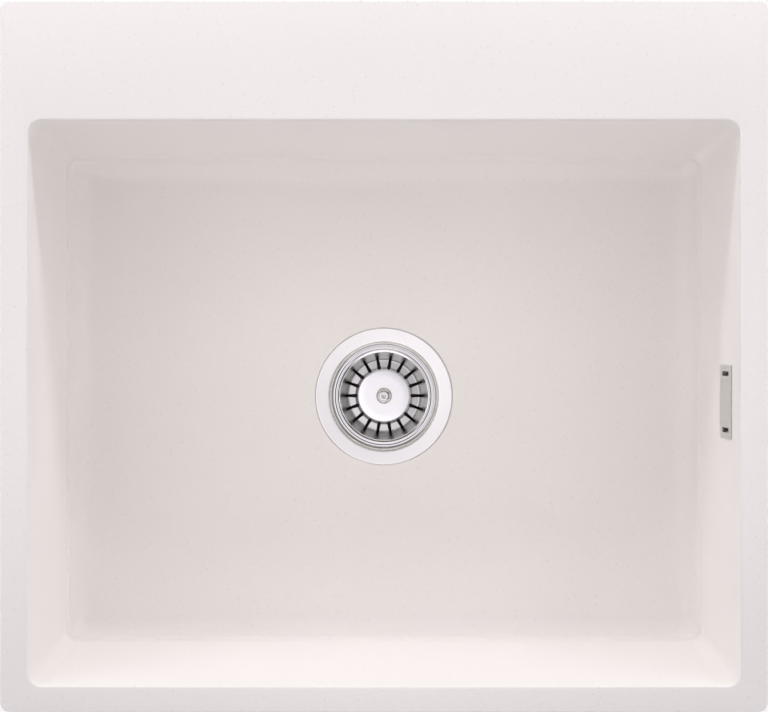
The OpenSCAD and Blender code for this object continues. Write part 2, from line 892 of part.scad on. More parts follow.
// One clamp bracket, pressed from sheet: tongue, plate with two side webs, lug with a thread
// collar. Local +X points out of the wall
module bracket_one() {
    w = 20;
    lug_w = 13;
    difference() {
        union() {
            translate([0, -w / 2, lug_z + 8])
                cube([brk_t, w, brk_top - lug_z - 8]);
            rotate([90, 0, 90])
                linear_extrude(brk_t)
                    polygon([
                        [-lug_w / 2, lug_z], [lug_w / 2, lug_z], [w / 2, lug_z + 8],
                        [-w / 2, lug_z + 8]
                    ]);
            translate([-4, -8, tongue_z])
                cube([4 + brk_t, 16, brk_t]);
            translate([0, -lug_w / 2, lug_z])
                cube([scr_off, lug_w, brk_t]);
            translate([scr_off, 0, lug_z])
                cylinder(r = collar_r, h = 4);
            for (s = [-1, 1])
                translate([0, s * (lug_w / 2 - 0.6) + 0.6, 0])
                    rotate([90, 0, 0])
                        linear_extrude(1.2)
                            polygon([[0, lug_z], [scr_off, lug_z], [0, lug_z + 16]]);
        }
        translate([scr_off, 0, lug_z - cut])
            cylinder(r = clamp_r + run, h = 4 + 2 * cut);
        translate([-cut, 0, brk_top - 22])
            rotate([0, 90, 0])
                cylinder(r = 3, h = brk_t + 2 * cut, $fn = 32);
    }
}

module clamp_brackets() {
    color(c_steel)
        for (p = places)
            translate([p[0], p[1], 0])
                rotate([0, 0, p[2]])
                    bracket_one();
}

// One clamp screw: slotted head below, neck and button above
module screw_one(i) {
    p = places[i];
    z0 = claw_top - claw_h;
    color(c_steel)
        translate([p[0], p[1], 0])
            rotate([0, 0, p[2]])
                translate([scr_off, 0, 0])
                    difference() {
                        union() {
                            translate([0, 0, z0 - end_gap - 50])
                                cylinder(r = clamp_r, h = 50, $fn = 32);
                            translate([0, 0, z0 - end_gap - 1])
                                cylinder(r = neck_r, h = claw_h, $fn = 32);
                            translate([0, 0, claw_top - 1.4])
                                cylinder(r = 3.2, h = 1, $fn = 32);
                            translate([0, 0, z0 - end_gap - 54])
                                cylinder(r = 4, h = 4, $fn = 32);
                        }
                        translate([-5, -0.5, z0 - end_gap - 55])
                            cube([10, 1, 2.5]);
                    }
}

// One clamp claw: hub on the screw and a toothed arm, parked along the wall
module claw_one(i) {
    p = places[i];
    z0 = claw_top - claw_h;
    color(c_steel)
        translate([p[0], p[1], z0])
            rotate([0, 0, p[2]])
                translate([scr_off, 0, 0])
                    difference() {
                        union() {
                            cylinder(r = claw_r, h = claw_h);
                            translate([0, 0, 1])
                                linear_extrude(5.2)
                                    polygon([
                                        [-claw_r, 0], [claw_r, 0], [3.6, claw_l * 0.45],
                                        [3, claw_l - 1.5], [1.5, claw_l], [-1.5, claw_l],
                                        [-3, claw_l - 1.5], [-3.6, claw_l * 0.45]
                                    ]);
                            for (k = [0 : 2])
                                translate([-3, claw_l - 2 - 4 * k, 6.2])
                                    rotate([90, 0, 90])
                                        linear_extrude(6)
                                            polygon([[-2, -0.2], [2, -0.2], [1.6, 1.8]]);
                        }
                        translate([0, 0, -cut])
                            cylinder(r = neck_r + run, h = claw_h + 2 * cut);
                        translate([0, 0, claw_h - 1.6])
                            cylinder(r = 3.3, h = 3);
                    }
}

module clamp_screw_1() { screw_one(0); }
module clamp_screw_2() { screw_one(1); }
module clamp_screw_3() { screw_one(2); }
module clamp_screw_4() { screw_one(3); }
module clamp_screw_5() { screw_one(4); }
module clamp_screw_6() { screw_one(5); }
module clamp_screw_7() { screw_one(6); }
module clamp_screw_8() { screw_one(7); }
module clamp_claw_1() { claw_one(0); }
module clamp_claw_2() { claw_one(1); }
module clamp_claw_3() { claw_one(2); }
module clamp_claw_4() { claw_one(3); }
module clamp_claw_5() { claw_one(4); }
module clamp_claw_6() { claw_one(5); }
module clamp_claw_7() { claw_one(6); }
module clamp_claw_8() { claw_one(7); }

bowl();
rim_seal();
strainer_cup();
flange_seal();
lower_seal();
waste_body();
waste_screw();
waste_nut();
basket();
basket_stem();
basket_knob();
basket_plug();
plug_washer();
plug_nut();
overflow_cover();
overflow_frame();
overflow_screws();
overflow_seal();
overflow_housing();
overflow_pipe();
overflow_nut_waste();
overflow_nut_housing();
overflow_washers();
clamp_brackets();
clamp_screw_1();
clamp_screw_2();
clamp_screw_3();
clamp_screw_4();
clamp_screw_5();
clamp_screw_6();
clamp_screw_7();
clamp_screw_8();
clamp_claw_1();
clamp_claw_2();
clamp_claw_3();
clamp_claw_4();
clamp_claw_5();
clamp_claw_6();
clamp_claw_7();
clamp_claw_8();
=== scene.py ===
"""An inset granite composite kitchen sink, seen from straight above.

The sink lies at its real size with the rim's underside at height 0, the rear deck towards +Y and
the overflow on the +X side. Lengths are in metres, but in mm in the turned profiles, the basket's
slots, the nuts and the clamp screws, which are multiplied by mm where their meshes are made.
"""

import bmesh
import bpy
import numpy as np
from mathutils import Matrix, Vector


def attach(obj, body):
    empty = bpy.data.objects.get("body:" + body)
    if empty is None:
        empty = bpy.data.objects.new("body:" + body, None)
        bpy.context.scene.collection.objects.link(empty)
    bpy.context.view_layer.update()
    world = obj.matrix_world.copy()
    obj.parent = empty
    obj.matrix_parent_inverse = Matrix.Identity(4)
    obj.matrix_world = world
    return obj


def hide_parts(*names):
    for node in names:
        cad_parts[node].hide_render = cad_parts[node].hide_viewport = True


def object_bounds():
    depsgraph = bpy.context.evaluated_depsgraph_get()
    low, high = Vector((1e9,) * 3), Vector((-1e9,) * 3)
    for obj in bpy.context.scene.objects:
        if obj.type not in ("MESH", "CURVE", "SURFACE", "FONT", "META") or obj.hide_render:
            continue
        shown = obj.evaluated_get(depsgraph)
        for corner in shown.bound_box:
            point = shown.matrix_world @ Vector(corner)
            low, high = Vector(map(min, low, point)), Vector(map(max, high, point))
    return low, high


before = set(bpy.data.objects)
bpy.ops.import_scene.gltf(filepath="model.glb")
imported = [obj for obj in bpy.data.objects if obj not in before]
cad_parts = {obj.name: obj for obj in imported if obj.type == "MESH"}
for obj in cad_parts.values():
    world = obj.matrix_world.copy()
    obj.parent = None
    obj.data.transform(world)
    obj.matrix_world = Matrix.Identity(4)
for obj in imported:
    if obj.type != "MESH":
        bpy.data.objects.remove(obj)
cad_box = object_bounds()
scene = bpy.context.scene

# Camera
# The photograph looks straight down on the middle of the rim. At the rim's top the picture is as
# wide as the sink, 550 mm, and the bowl's foot, 158 mm lower, shows how far off the camera is.
RIM_TOP = 0.008
camera_height = 1.394
lens_data = bpy.data.cameras.new("camera")
lens_data.sensor_width = 36.0
lens_data.lens = 36.0 * camera_height / 0.550
lens_data.clip_end = 50.0
camera = bpy.data.objects.new("camera", lens_data)
camera.location = (0.0, 0.0, RIM_TOP + camera_height)
scene.collection.objects.link(camera)
scene.camera = camera
scene.view_settings.view_transform = "Standard"

# Bowl
# One moulding of quartz sand in off-white acrylic resin, with a smooth matt skin. It is a single
# closed skin: up through the waste hole, over floor, walls and rim, and down the outside again.
mm = 0.001
HALF_W, HALF_D = 0.275, 0.255
WASTE_Y = -0.033
FLOOR_Z = -0.192
FLOOR_THICK = 0.013
WASTE_HOLE, FLANGE_SEAT, SEAT_DEPTH = 0.045, 0.0563, 0.003
FOOT_HALF, FOOT_FRONT, FOOT_BACK = 0.2505, -0.224, 0.1555
WALL_TOP, DECK_EDGE = 0.2555, 0.1685


def rounded_ring(half, front, back, radius, z, side=12, corner=10):
    """A level rounded rectangle as points (u, 3), the same count of points on every ring.

    Each corner is a quarter circle of the radius in equal steps of angle, and each straight side
    is divided into equal steps of length.
    """
    loops = []
    for quarter in range(4):
        angle = np.radians(90.0 * quarter + np.linspace(0.0, 90.0, corner + 1))
        cx = half - radius if quarter in (0, 3) else radius - half
        cy = back - radius if quarter < 2 else front + radius
        loops.append(np.stack([cx + radius * np.cos(angle), cy + radius * np.sin(angle)], 1))
    points = []
    for quarter in range(4):
        start, end = loops[quarter][-1], loops[(quarter + 1) % 4][0]
        step = np.linspace(0.0, 1.0, side + 1)[1:-1, None]
        points += [loops[quarter], start + (end - start) * step]
    flat = np.concatenate(points)
    return np.column_stack([flat, np.full(len(flat), z)])


def round_ring(radius, z, like, centre=(0.0, WASTE_Y)):
    """A circle whose points lie in the same directions from its centre as those of ring `like`."""
    angle = np.arctan2(like[:, 1] - centre[1], like[:, 0] - centre[0])
    return np.column_stack([
        centre[0] + radius * np.cos(angle),
        centre[1] + radius * np.sin(angle),
        np.full(len(angle), z),
    ])


def eased_skin(stations, before, after, steps, closed=True, most=0.48):
    """Rings along a path through the stations (k, u, d), each corner eased.

    A corner is replaced by the quadratic curve from `before` metres ahead of it to `after` metres
    past it, with the corner as its control point; a length is cut to `most` of its stretch.
    """
    stations = np.asarray(stations, float)
    last = len(stations) - 1
    rows = []
    for k in range(len(stations)):
        here = stations[k]
        if not closed and k in (0, last):
            rows.append(here[None])
            continue
        back = stations[k - 1] - here
        on = stations[(k + 1) % len(stations)] - here
        back_len = np.linalg.norm(back, axis=1, keepdims=True)
        on_len = np.linalg.norm(on, axis=1, keepdims=True)
        a = here + back * np.minimum(before[k] / back_len, most)
        b = here + on * np.minimum(after[k] / on_len, most)
        t = np.linspace(0.0, 1.0, steps[k] + 1)[:, None, None]
        rows.append((1 - t) ** 2 * a + 2 * t * (1 - t) * here + t ** 2 * b)
    return np.concatenate(rows)


def skin_mesh(name, rows, wrap_rows=True, caps=False):
    """A mesh of four-sided faces over a grid of points (v, u, 3), closed round u.

    wrap_rows joins the last row to the first; caps fills the first and last row with one face.
    """
    v, u = rows.shape[:2]
    i = np.arange(v if wrap_rows else v - 1)[:, None]
    j = np.arange(u)[None]
    faces = np.stack([
        i * u + j, i * u + (j + 1) % u, (i + 1) % v * u + (j + 1) % u, (i + 1) % v * u + j,
    ], -1).reshape(-1, 4).tolist()
    if caps:
        faces += [list(range(u))[::-1], list(range((v - 1) * u, v * u))]
    mesh = bpy.data.meshes.new(name)
    mesh.from_pydata(rows.reshape(-1, 3).tolist(), [], faces)
    return mesh


def settle_mesh(mesh, crease=35.0, weld=1e-6):
    """Merges points that coincide, turns all faces outwards and shades smooth up to the crease."""
    build = bmesh.new()
    build.from_mesh(mesh)
    bmesh.ops.remove_doubles(build, verts=build.verts, dist=weld)
    bmesh.ops.dissolve_degenerate(build, edges=build.edges, dist=weld)
    bmesh.ops.recalc_face_normals(build, faces=build.faces)
    build.to_mesh(mesh)
    build.free()
    mesh.polygons.foreach_set("use_smooth", np.ones(len(mesh.polygons), bool))
    mesh.set_sharp_from_angle(angle=np.radians(crease))
    return mesh


def placed(name, mesh):
    """An object at the origin that shows the mesh."""
    piece = bpy.data.objects.new(name, mesh)
    scene.collection.objects.link(piece)
    return piece


def carved(mesh, other, how):
    """The mesh united with the other, or with the other taken out of it, as a new mesh."""
    body, tool = placed("carve_body", mesh), placed("carve_tool", other)
    modifier = body.modifiers.new("carve", "BOOLEAN")
    modifier.object, modifier.operation, modifier.solver = tool, how, "EXACT"
    bpy.context.view_layer.update()
    result = bpy.data.meshes.new_from_object(body.evaluated_get(bpy.context.evaluated_depsgraph_get()))
    for helper in (body, tool):
        bpy.data.objects.remove(helper)
    return result


def block_mesh(name, low, high, edge=0.0008):
    """A block with rounded upright edges and eased top and bottom, as rings from low z to high z."""
    low, high = np.array(low, float), np.array(high, float)
    cx, cy = (low[:2] + high[:2]) / 2
    hx, hy = (high[:2] - low[:2]) / 2

    def ring(inset, z):
        r = max(edge * 1.6 - inset, edge * 0.2)
        return rounded_ring(hx - inset, -hy + inset, hy - inset, r, z, 1, 4) + [cx, cy, 0.0]

    a = np.radians(np.linspace(0.0, 90.0, 4))
    rows = [ring(edge * (1 - np.sin(t)), low[2] + edge * (1 - np.cos(t))) for t in a]
    rows += [ring(edge * (1 - np.cos(t)), high[2] - edge * (1 - np.sin(t))) for t in a]
    return settle_mesh(skin_mesh(name, np.array(rows), False, True), 40)


def drum_mesh(name, centre, radius, low, high, steps=64):
    """A plain drum along Z, used where a round hole is cut or a boss is added."""
    angle = np.linspace(0.0, 2 * np.pi, steps, endpoint=False)
    ring = np.column_stack([centre[0] + radius * np.cos(angle), centre[1] + radius * np.sin(angle)])
    rows = [np.column_stack([ring, np.full(steps, z)]) for z in (low, high)]
    return settle_mesh(skin_mesh(name, np.array(rows), False, True))


outline = rounded_ring(HALF_W, -HALF_D, HALF_D, 0.007, RIM_TOP)
foot = rounded_ring(FOOT_HALF, FOOT_FRONT, FOOT_BACK, 0.009, -0.1800)

# From the waste hole's lower edge over its recess, the floor, the ledge, the wall and the rim, then
# down the outline, through the groove for the foam strip, and down the outside to the hole again.
bowl_stations = [
    round_ring(WASTE_HOLE, FLOOR_Z - FLOOR_THICK, foot),
    round_ring(WASTE_HOLE, FLOOR_Z - SEAT_DEPTH, foot),
    round_ring(FLANGE_SEAT, FLOOR_Z - SEAT_DEPTH, foot),
    round_ring(FLANGE_SEAT, FLOOR_Z, foot),
    foot,
    rounded_ring(FOOT_HALF, FOOT_FRONT, FOOT_BACK, 0.0080, -0.1505),
    rounded_ring(0.2535, -0.2275, 0.1585, 0.0095, -0.1500),
    rounded_ring(WALL_TOP, -0.2365, DECK_EDGE, 0.0105, RIM_TOP),
    outline,
    rounded_ring(HALF_W, -HALF_D, HALF_D, 0.0070, 0.0),
    rounded_ring(0.2725, -0.2525, 0.2525, 0.0045, 0.0),
    rounded_ring(0.2725, -0.2525, 0.2525, 0.0045, 0.0015),
    rounded_ring(0.2675, -0.2475, 0.2475, 0.0025, 0.0015),
    rounded_ring(0.2675, -0.2475, 0.2475, 0.0025, 0.0),
    rounded_ring(0.2625, -0.2435, 0.1755, 0.0165, 0.0),
    rounded_ring(0.2607, -0.2350, 0.1660, 0.0160, -0.1890),
    round_ring(0.0680, -0.2010, foot),
    round_ring(0.0660, FLOOR_Z - FLOOR_THICK, foot),
]

# The eased lengths are in mm. Along the front the large fillet at the walls' foot is tighter, and
# the small ledge above it is crisper than along the other sides.
front = np.clip((-0.200 - foot[:, 1:2]) / 0.016, 0.0, 1.0)
fillet_in, fillet_up = 24 - 7 * front, 26.5 - 6.5 * front
ledge_down, ledge_in = 2.5 - 1.7 * front, 1.4 - 0.6 * front
corner_in, corner_up = 1.5 - 0.3 * front, 4.0 - 2.8 * front
bowl_before = [.3, .3, .3, .8, fillet_in, ledge_down, corner_in, 2, 1.3, .4, .2, .2, .2, .2, .6, 30, 4, 1]
bowl_after = [.3, .3, .3, .8, fillet_up, ledge_in, corner_up, 2, 1.3, .4, .2, .2, .2, .2, .6, 30, 1, 1]
bowl_steps = [2, 2, 2, 5, 16, 6, 8, 8, 8, 3, 2, 2, 2, 2, 3, 12, 4, 3]
bowl_mesh = settle_mesh(skin_mesh("bowl_skin", eased_skin(
    bowl_stations, [e * mm for e in bowl_before], [e * mm for e in bowl_after], bowl_steps, most=0.97)))

# A skirt with two ribs under the deck, and the pads on the walls that the clamps and the overflow
# seat on, are moulded in one with the bowl and reach up into the rim. Each row of clamp_spots is a
# clamp's x, y and direction in degrees.
PAD_HALF, PAD_LOW, INTO_RIM = 0.013, -0.030, 0.004
skirt_in = block_mesh("skirt_in", (-0.256, 0.120, -0.050), (0.256, 0.236, 0.0))
skirt = carved(block_mesh("skirt", (-0.264, 0.1725, -0.026), (0.264, 0.244, INTO_RIM), 0.0015),
               skirt_in, "DIFFERENCE")
added = [skirt]
for x in (-0.065, 0.065):
    added.append(block_mesh("rib", (x - 0.003, 0.1725, -0.018), (x + 0.003, 0.240, INTO_RIM)))
clamp_spots = [
    (0.264, -0.156, 0), (0.264, 0.088, 0), (0.165, 0.244, 90), (-0.165, 0.244, 90),
    (-0.264, 0.088, 180), (-0.264, -0.156, 180), (-0.165, -0.244, 270), (0.165, -0.244, 270),
]
for x, y, turn in clamp_spots:
    if turn in (0, 180):
        inner = x - 0.0045 * np.sign(x)
        added.append(block_mesh("pad", (min(x, inner), y - PAD_HALF, PAD_LOW),
                                (max(x, inner), y + PAD_HALF, INTO_RIM), 0.0012))
    if turn == 270:
        added.append(block_mesh("pad", (x - PAD_HALF, y, PAD_LOW),
                                (x + PAD_HALF, y + 0.0040, INTO_RIM), 0.0012))
added.append(block_mesh("pad", (0.2590, -0.067, -0.077), (0.264, -0.001, INTO_RIM), 0.0012))
for extra in added:
    bowl_mesh = carved(bowl_mesh, extra, "UNION")

# The overflow's opening, three blind recesses for a tap and a pocket for each clamp's hook.
TAP_Y, TAP_RADIUS = 0.212, 0.0175
POCKET_HALF, POCKET_IN, POCKET_OUT = 0.00825, 0.005, 0.002
removed = [block_mesh("overflow_hole", (0.240, -0.058, -0.061), (0.270, -0.010, -0.031), 0.0025)]
for x in (-0.130, 0.0, 0.130):
    removed.append(drum_mesh("knock_out", (x, TAP_Y), TAP_RADIUS, -0.005, 0.004))
for x, y, turn in clamp_spots:
    way = np.array([round(np.cos(np.radians(turn))), round(np.sin(np.radians(turn)))])
    side = np.abs(way[::-1]) * POCKET_HALF
    ends = np.sort([np.array([x, y]) - way * POCKET_IN, np.array([x, y]) + way * POCKET_OUT], axis=0)
    removed.append(block_mesh("pocket", (*(ends[0] - side), -0.01625), (*(ends[1] + side), -0.01425),
                              0.0003))
for hollow in removed:
    bowl_mesh = carved(bowl_mesh, hollow, "DIFFERENCE")
bowl = placed("granite_bowl", settle_mesh(bowl_mesh, 32))


def new_material(name):
    """A material with a Principled shader, its output and Object coordinates."""
    material = bpy.data.materials.new(name)
    material.use_nodes = True
    tree = material.node_tree
    shader = tree.nodes["Principled BSDF"]
    coords = tree.nodes.new("ShaderNodeTexCoord")
    return material, tree, shader, coords.outputs["Object"]


def new_group(name, inputs, outputs):
    """An empty node group with named sockets: inputs are (name, kind, value), outputs (name, kind)."""
    group = bpy.data.node_groups.new(name, "ShaderNodeTree")
    for label, kind, value in inputs:
        socket = group.interface.new_socket(label, in_out="INPUT", socket_type="NodeSocket" + kind)
        if value is not None:
            socket.default_value = value
    for label, kind in outputs:
        group.interface.new_socket(label, in_out="OUTPUT", socket_type="NodeSocket" + kind)
    return group, group.nodes.new("NodeGroupInput"), group.nodes.new("NodeGroupOutput")


def math_node(tree, kind, a, b=None, c=None):
    """A Math node; a, b and c are sockets or numbers."""
    node = tree.nodes.new("ShaderNodeMath")
    node.operation = kind
    for slot, value in enumerate((a, b, c)):
        if isinstance(value, (int, float)):
            node.inputs[slot].default_value = value
        elif value is not None:
            tree.links.new(value, node.inputs[slot])
    return node.outputs[0]


def colour_mix(tree, factor, low, high):
    """A Mix node between two colours; each may be a socket or (r, g, b)."""
    node = tree.nodes.new("ShaderNodeMix")
    node.data_type = "RGBA"
    for slot, value in ((0, factor), (6, low), (7, high)):
        if isinstance(value, (tuple, list)):
            node.inputs[slot].default_value = (*value, 1.0)
        elif isinstance(value, (int, float)):
            node.inputs[slot].default_value = value
        else:
            tree.links.new(value, node.inputs[slot])
    return node.outputs[2]


def noise(tree, vector, scale, detail=2.0, roughness=0.5):
    """A Noise texture; puts out its value."""
    node = tree.nodes.new("ShaderNodeTexNoise")
    node.inputs["Scale"].default_value = scale
    node.inputs["Detail"].default_value = detail
    node.inputs["Roughness"].default_value = roughness
    tree.links.new(vector, node.inputs["Vector"])
    return node.outputs["Fac"]


def bump(tree, shader, height, distance, strength):
    """A Bump node from the height to the shader's normal."""
    node = tree.nodes.new("ShaderNodeBump")
    node.inputs["Distance"].default_value = distance
    node.inputs["Strength"].default_value = strength
    tree.links.new(height, node.inputs["Height"])
    tree.links.new(node.outputs["Normal"], shader.inputs["Normal"])


def quartz_grain():
    """Group: sand grains of two sizes. Puts out each grain's shade, a mask of flecks and a height."""
    group, enter, leave = new_group(
        "quartz_grain", [("Vector", "Vector", None), ("Grain", "Float", 900.0)],
        [("Shade", "Float"), ("Fleck", "Float"), ("Height", "Float")])
    fine = group.nodes.new("ShaderNodeTexVoronoi")
    coarse = group.nodes.new("ShaderNodeTexVoronoi")
    for node in (fine, coarse):
        group.links.new(enter.outputs["Vector"], node.inputs["Vector"])
    group.links.new(enter.outputs["Grain"], fine.inputs["Scale"])
    group.links.new(math_node(group, "MULTIPLY", enter.outputs["Grain"], 0.37), coarse.inputs["Scale"])
    split = group.nodes.new("ShaderNodeSeparateColor")
    group.links.new(fine.outputs["Color"], split.inputs[0])
    big = group.nodes.new("ShaderNodeSeparateColor")
    group.links.new(coarse.outputs["Color"], big.inputs[0])
    cloud = noise(group, enter.outputs["Vector"], 14.0, 3.0)
    shade = math_node(group, "ADD", math_node(group, "MULTIPLY", split.outputs[0], 0.6),
                      math_node(group, "MULTIPLY", cloud, 0.4))
    fleck = math_node(group, "MULTIPLY", math_node(group, "GREATER_THAN", big.outputs[1], 0.965),
                      math_node(group, "LESS_THAN", coarse.outputs["Distance"], 0.32))
    group.links.new(shade, leave.inputs["Shade"])
    group.links.new(fleck, leave.inputs["Fleck"])
    group.links.new(math_node(group, "SUBTRACT", 1.0, fine.outputs["Distance"]), leave.inputs["Height"])
    return group


def placed_group(tree, group, vector, **values):
    """The group as a node in a material, fed with the vector and its own values."""
    node = tree.nodes.new("ShaderNodeGroup")
    node.node_tree = group
    tree.links.new(vector, node.inputs["Vector"])
    for label, value in values.items():
        node.inputs[label.replace("_", " ")].default_value = value
    return node


granite, tree, shader, where = new_material("granite")
grain = placed_group(tree, quartz_grain(), where, Grain=1150.0)
base = colour_mix(tree, grain.outputs["Shade"], (0.882, 0.870, 0.834), (0.927, 0.915, 0.878))
base = colour_mix(tree, math_node(tree, "MULTIPLY", grain.outputs["Fleck"], 0.22), base,
                  (0.62, 0.57, 0.54))
tree.links.new(base, shader.inputs["Base Color"])
rough = math_node(tree, "MULTIPLY_ADD", grain.outputs["Shade"], 0.10, 0.40)
tree.links.new(rough, shader.inputs["Roughness"])
shader.inputs["Specular IOR Level"].default_value = 0.38
bump(tree, shader, grain.outputs["Height"], 0.00003, 0.5)
bowl.data.materials.append(granite)
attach(bowl, "sink")
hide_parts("bowl")

# Rim seal
# A strip of dark closed-cell foam that runs round the sink. It is pressed into the groove under the
# rim, flush with the worktop, and keeps water out of the joint.
foam, tree, shader, where = new_material("grey_foam")
cells = tree.nodes.new("ShaderNodeTexVoronoi")
cells.inputs["Scale"].default_value = 1400.0
tree.links.new(where, cells.inputs["Vector"])
tree.links.new(colour_mix(tree, cells.outputs["Distance"], (0.030, 0.030, 0.032), (0.085, 0.085, 0.088)),
               shader.inputs["Base Color"])
shader.inputs["Roughness"].default_value = 0.92
bump(tree, shader, cells.outputs["Distance"], 0.0002, 0.8)
strip_stations = [
    rounded_ring(0.2724, -0.2524, 0.2524, 0.0044, 0.00145),
    rounded_ring(0.2724, -0.2524, 0.2524, 0.0044, 0.00002),
    rounded_ring(0.2676, -0.2476, 0.2476, 0.0026, 0.00002),
    rounded_ring(0.2676, -0.2476, 0.2476, 0.0026, 0.00145),
]
strip = placed("foam_strip", settle_mesh(skin_mesh(
    "foam_strip", eased_skin(strip_stations, [0.0004] * 4, [0.0004] * 4, [3] * 4)), 60))
strip.data.materials.append(foam)
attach(strip, "sink")
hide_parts("rim_seal")

# Strainer cup
# A cup drawn from one sheet of stainless steel, 1 mm thick, with a wide, very slightly dished
# flange that lies in the recess round the waste hole. Its six drain holes are punched, and it is
# polished, with faint rings from the wheel.


def turned_skin(profile, before=0.0003, after=None, steps=3, closed=True, around=128):
    """A profile of (radius, height) in mm swept round Z, with its corners eased.

    Returns rows (v, u, 3) in metres round the waste's axis, heights counted from the floor.
    """
    flat = np.array(profile, float)[:, None, :] * mm
    count = len(profile)

    def each(value):
        return value if np.ndim(value) else [value] * count

    line = eased_skin(flat, each(before), each(before if after is None else after), each(steps), closed)
    angle = np.linspace(0.0, 2 * np.pi, around, endpoint=False)[None]
    radius, height = line[:, :, 0], line[:, :, 1]
    return np.stack([radius * np.cos(angle), WASTE_Y + radius * np.sin(angle),
                     FLOOR_Z + height + 0 * angle], -1)


cup_profile = [
    (5.2, -41), (34.9, -41), (36.1, -39.6), (38.7, -12.8), (39.3, -11), (42.8, -7.7), (42.9, -3.6),
    (44.3, -2.6), (45.0, -0.5), (46.1, -0.44), (46.4, -0.43), (54.8, -0.21), (55.1, -0.2), (56.0, -0.2),
    (56.0, -2.0), (55.2, -2.0), (55.2, -1.2), (45.8, -1.2), (45.3, -3.2), (44.0, -4.2), (43.8, -8.4),
    (40.1, -11.7), (39.7, -13), (37.0, -40.3), (35.4, -42), (5.2, -42),
]
cup_ease = [.1, 3, 1, .8, .8, .8, .6, .6, .8, 0, 0, 0, 0, .5, .2, .2, .2, .7, .6, .6, .8, .8, .8, 1, 2, .1]
cup_steps = [1, 6, 3, 3, 3, 4, 4, 4, 6, 1, 1, 1, 1, 5, 2, 2, 2, 5, 4, 4, 3, 3, 3, 3, 5, 1]
cup_mesh = settle_mesh(skin_mesh("cup", turned_skin(
    cup_profile, np.array(cup_ease) * mm, None, cup_steps)))
for k in range(6):
    turn = np.radians(60.0 * k)
    hole_at = (0.0155 * np.cos(turn), WASTE_Y + 0.0155 * np.sin(turn))
    cup_mesh = carved(cup_mesh, drum_mesh("drain_hole", hole_at, 0.006, FLOOR_Z - 0.044,
                                          FLOOR_Z - 0.039, 36), "DIFFERENCE")
cup = placed("steel_cup", settle_mesh(cup_mesh, 30))


def wheel_marks():
    """Group: fine rings round an upright axis, as a lathe or wheel leaves them.

    The distance from the axis, put out as Away, drives a noise in one dimension; a second noise
    breaks the rings up.
    """
    group, enter, leave = new_group(
        "wheel_marks",
        [("Vector", "Vector", None), ("Centre", "Vector", (0.0, WASTE_Y, 0.0)),
         ("Scale", "Float", 2600.0), ("Ring", "Vector", (1.0, 1.0, 0.0))],
        [("Marks", "Float"), ("Smear", "Float"), ("Away", "Float")])
    away = group.nodes.new("ShaderNodeVectorMath")
    away.operation = "SUBTRACT"
    group.links.new(enter.outputs["Vector"], away.inputs[0])
    group.links.new(enter.outputs["Centre"], away.inputs[1])
    flat = group.nodes.new("ShaderNodeVectorMath")
    flat.operation = "MULTIPLY"
    group.links.new(away.outputs[0], flat.inputs[0])
    group.links.new(enter.outputs["Ring"], flat.inputs[1])
    length = group.nodes.new("ShaderNodeVectorMath")
    length.operation = "LENGTH"
    group.links.new(flat.outputs[0], length.inputs[0])
    rings = group.nodes.new("ShaderNodeTexNoise")
    rings.noise_dimensions = "1D"
    rings.inputs["Detail"].default_value = 3.0
    group.links.new(math_node(group, "MULTIPLY", length.outputs["Value"], enter.outputs["Scale"]),
                    rings.inputs["W"])
    rings.inputs["Scale"].default_value = 1.0
    group.links.new(rings.outputs["Fac"], leave.inputs["Marks"])
    group.links.new(length.outputs["Value"], leave.inputs["Away"])
    group.links.new(noise(group, enter.outputs["Vector"], 45.0, 3.0, 0.6), leave.inputs["Smear"])
    return group


wheel_group = wheel_marks()


def ramp(tree, value, start, end, low=0.0, high=1.0):
    """A smooth step of the value: low at start, high at end."""
    node = tree.nodes.new("ShaderNodeMapRange")
    node.interpolation_type = "SMOOTHSTEP"
    for slot, number in enumerate((start, end, low, high), 1):
        node.inputs[slot].default_value = number
    tree.links.new(value, node.inputs[0])
    return node.outputs[0]


def steel(name, colour, shine, marks, painted_shade=None, **values):
    """Stainless steel: wheel marks in its roughness and a shallow bump, and a slight smear.

    The last argument, a function of (tree, wheel, where), may put out a mask, 1 where the surface is
    painted dark as shade and made rough.
    """
    material, tree, shader, where = new_material(name)
    wheel = placed_group(tree, wheel_group, where, **values)
    shade = math_node(tree, "MULTIPLY_ADD", wheel.outputs["Marks"], 0.5, 0.25)
    base = colour_mix(tree, shade, tuple(0.93 * c for c in colour), colour)
    smear = math_node(tree, "MULTIPLY_ADD", wheel.outputs["Smear"], 0.10, shine - 0.05)
    rough = math_node(tree, "MULTIPLY_ADD", wheel.outputs["Marks"], 0.08, smear)
    # Painted shade: where the mask is 1 the colour turns dark and the roughness rises.
    if painted_shade:
        mask, dark, matt = painted_shade(tree, wheel, where)
        base = colour_mix(tree, mask, base, dark)
        rough = math_node(tree, "MULTIPLY_ADD", mask, matt, rough)
    tree.links.new(base, shader.inputs["Base Color"])
    shader.inputs["Metallic"].default_value = 1.0
    tree.links.new(rough, shader.inputs["Roughness"])
    bump(tree, shader, wheel.outputs["Marks"], 0.00001 * marks, 0.6)
    return material


def painted_cup_shade(tree, wheel, where):
    """Below the basket's seat the cup is painted dark as shade, and made rough: a mask from the height."""
    split = tree.nodes.new("ShaderNodeSeparateXYZ")
    tree.links.new(where, split.inputs[0])
    return ramp(tree, split.outputs[2], FLOOR_Z - 0.0105, FLOOR_Z - 0.0140), (0.05, 0.05, 0.05), 0.35


# The cup's inside below the basket is painted dark as shade.
cup_steel = steel("cup_steel", (0.86, 0.858, 0.84), 0.14, 0.3, painted_cup_shade)
cup.data.materials.append(cup_steel)
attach(cup, "sink")
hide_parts("strainer_cup")

# Strainer basket
# A basket pressed from 0.9 mm stainless sheet: a rolled lip, a steep wall, a low ring and a raised
# disc. 18 keyhole slots are punched through wall and ring, each wide at its inner end.
SLOTS = 18

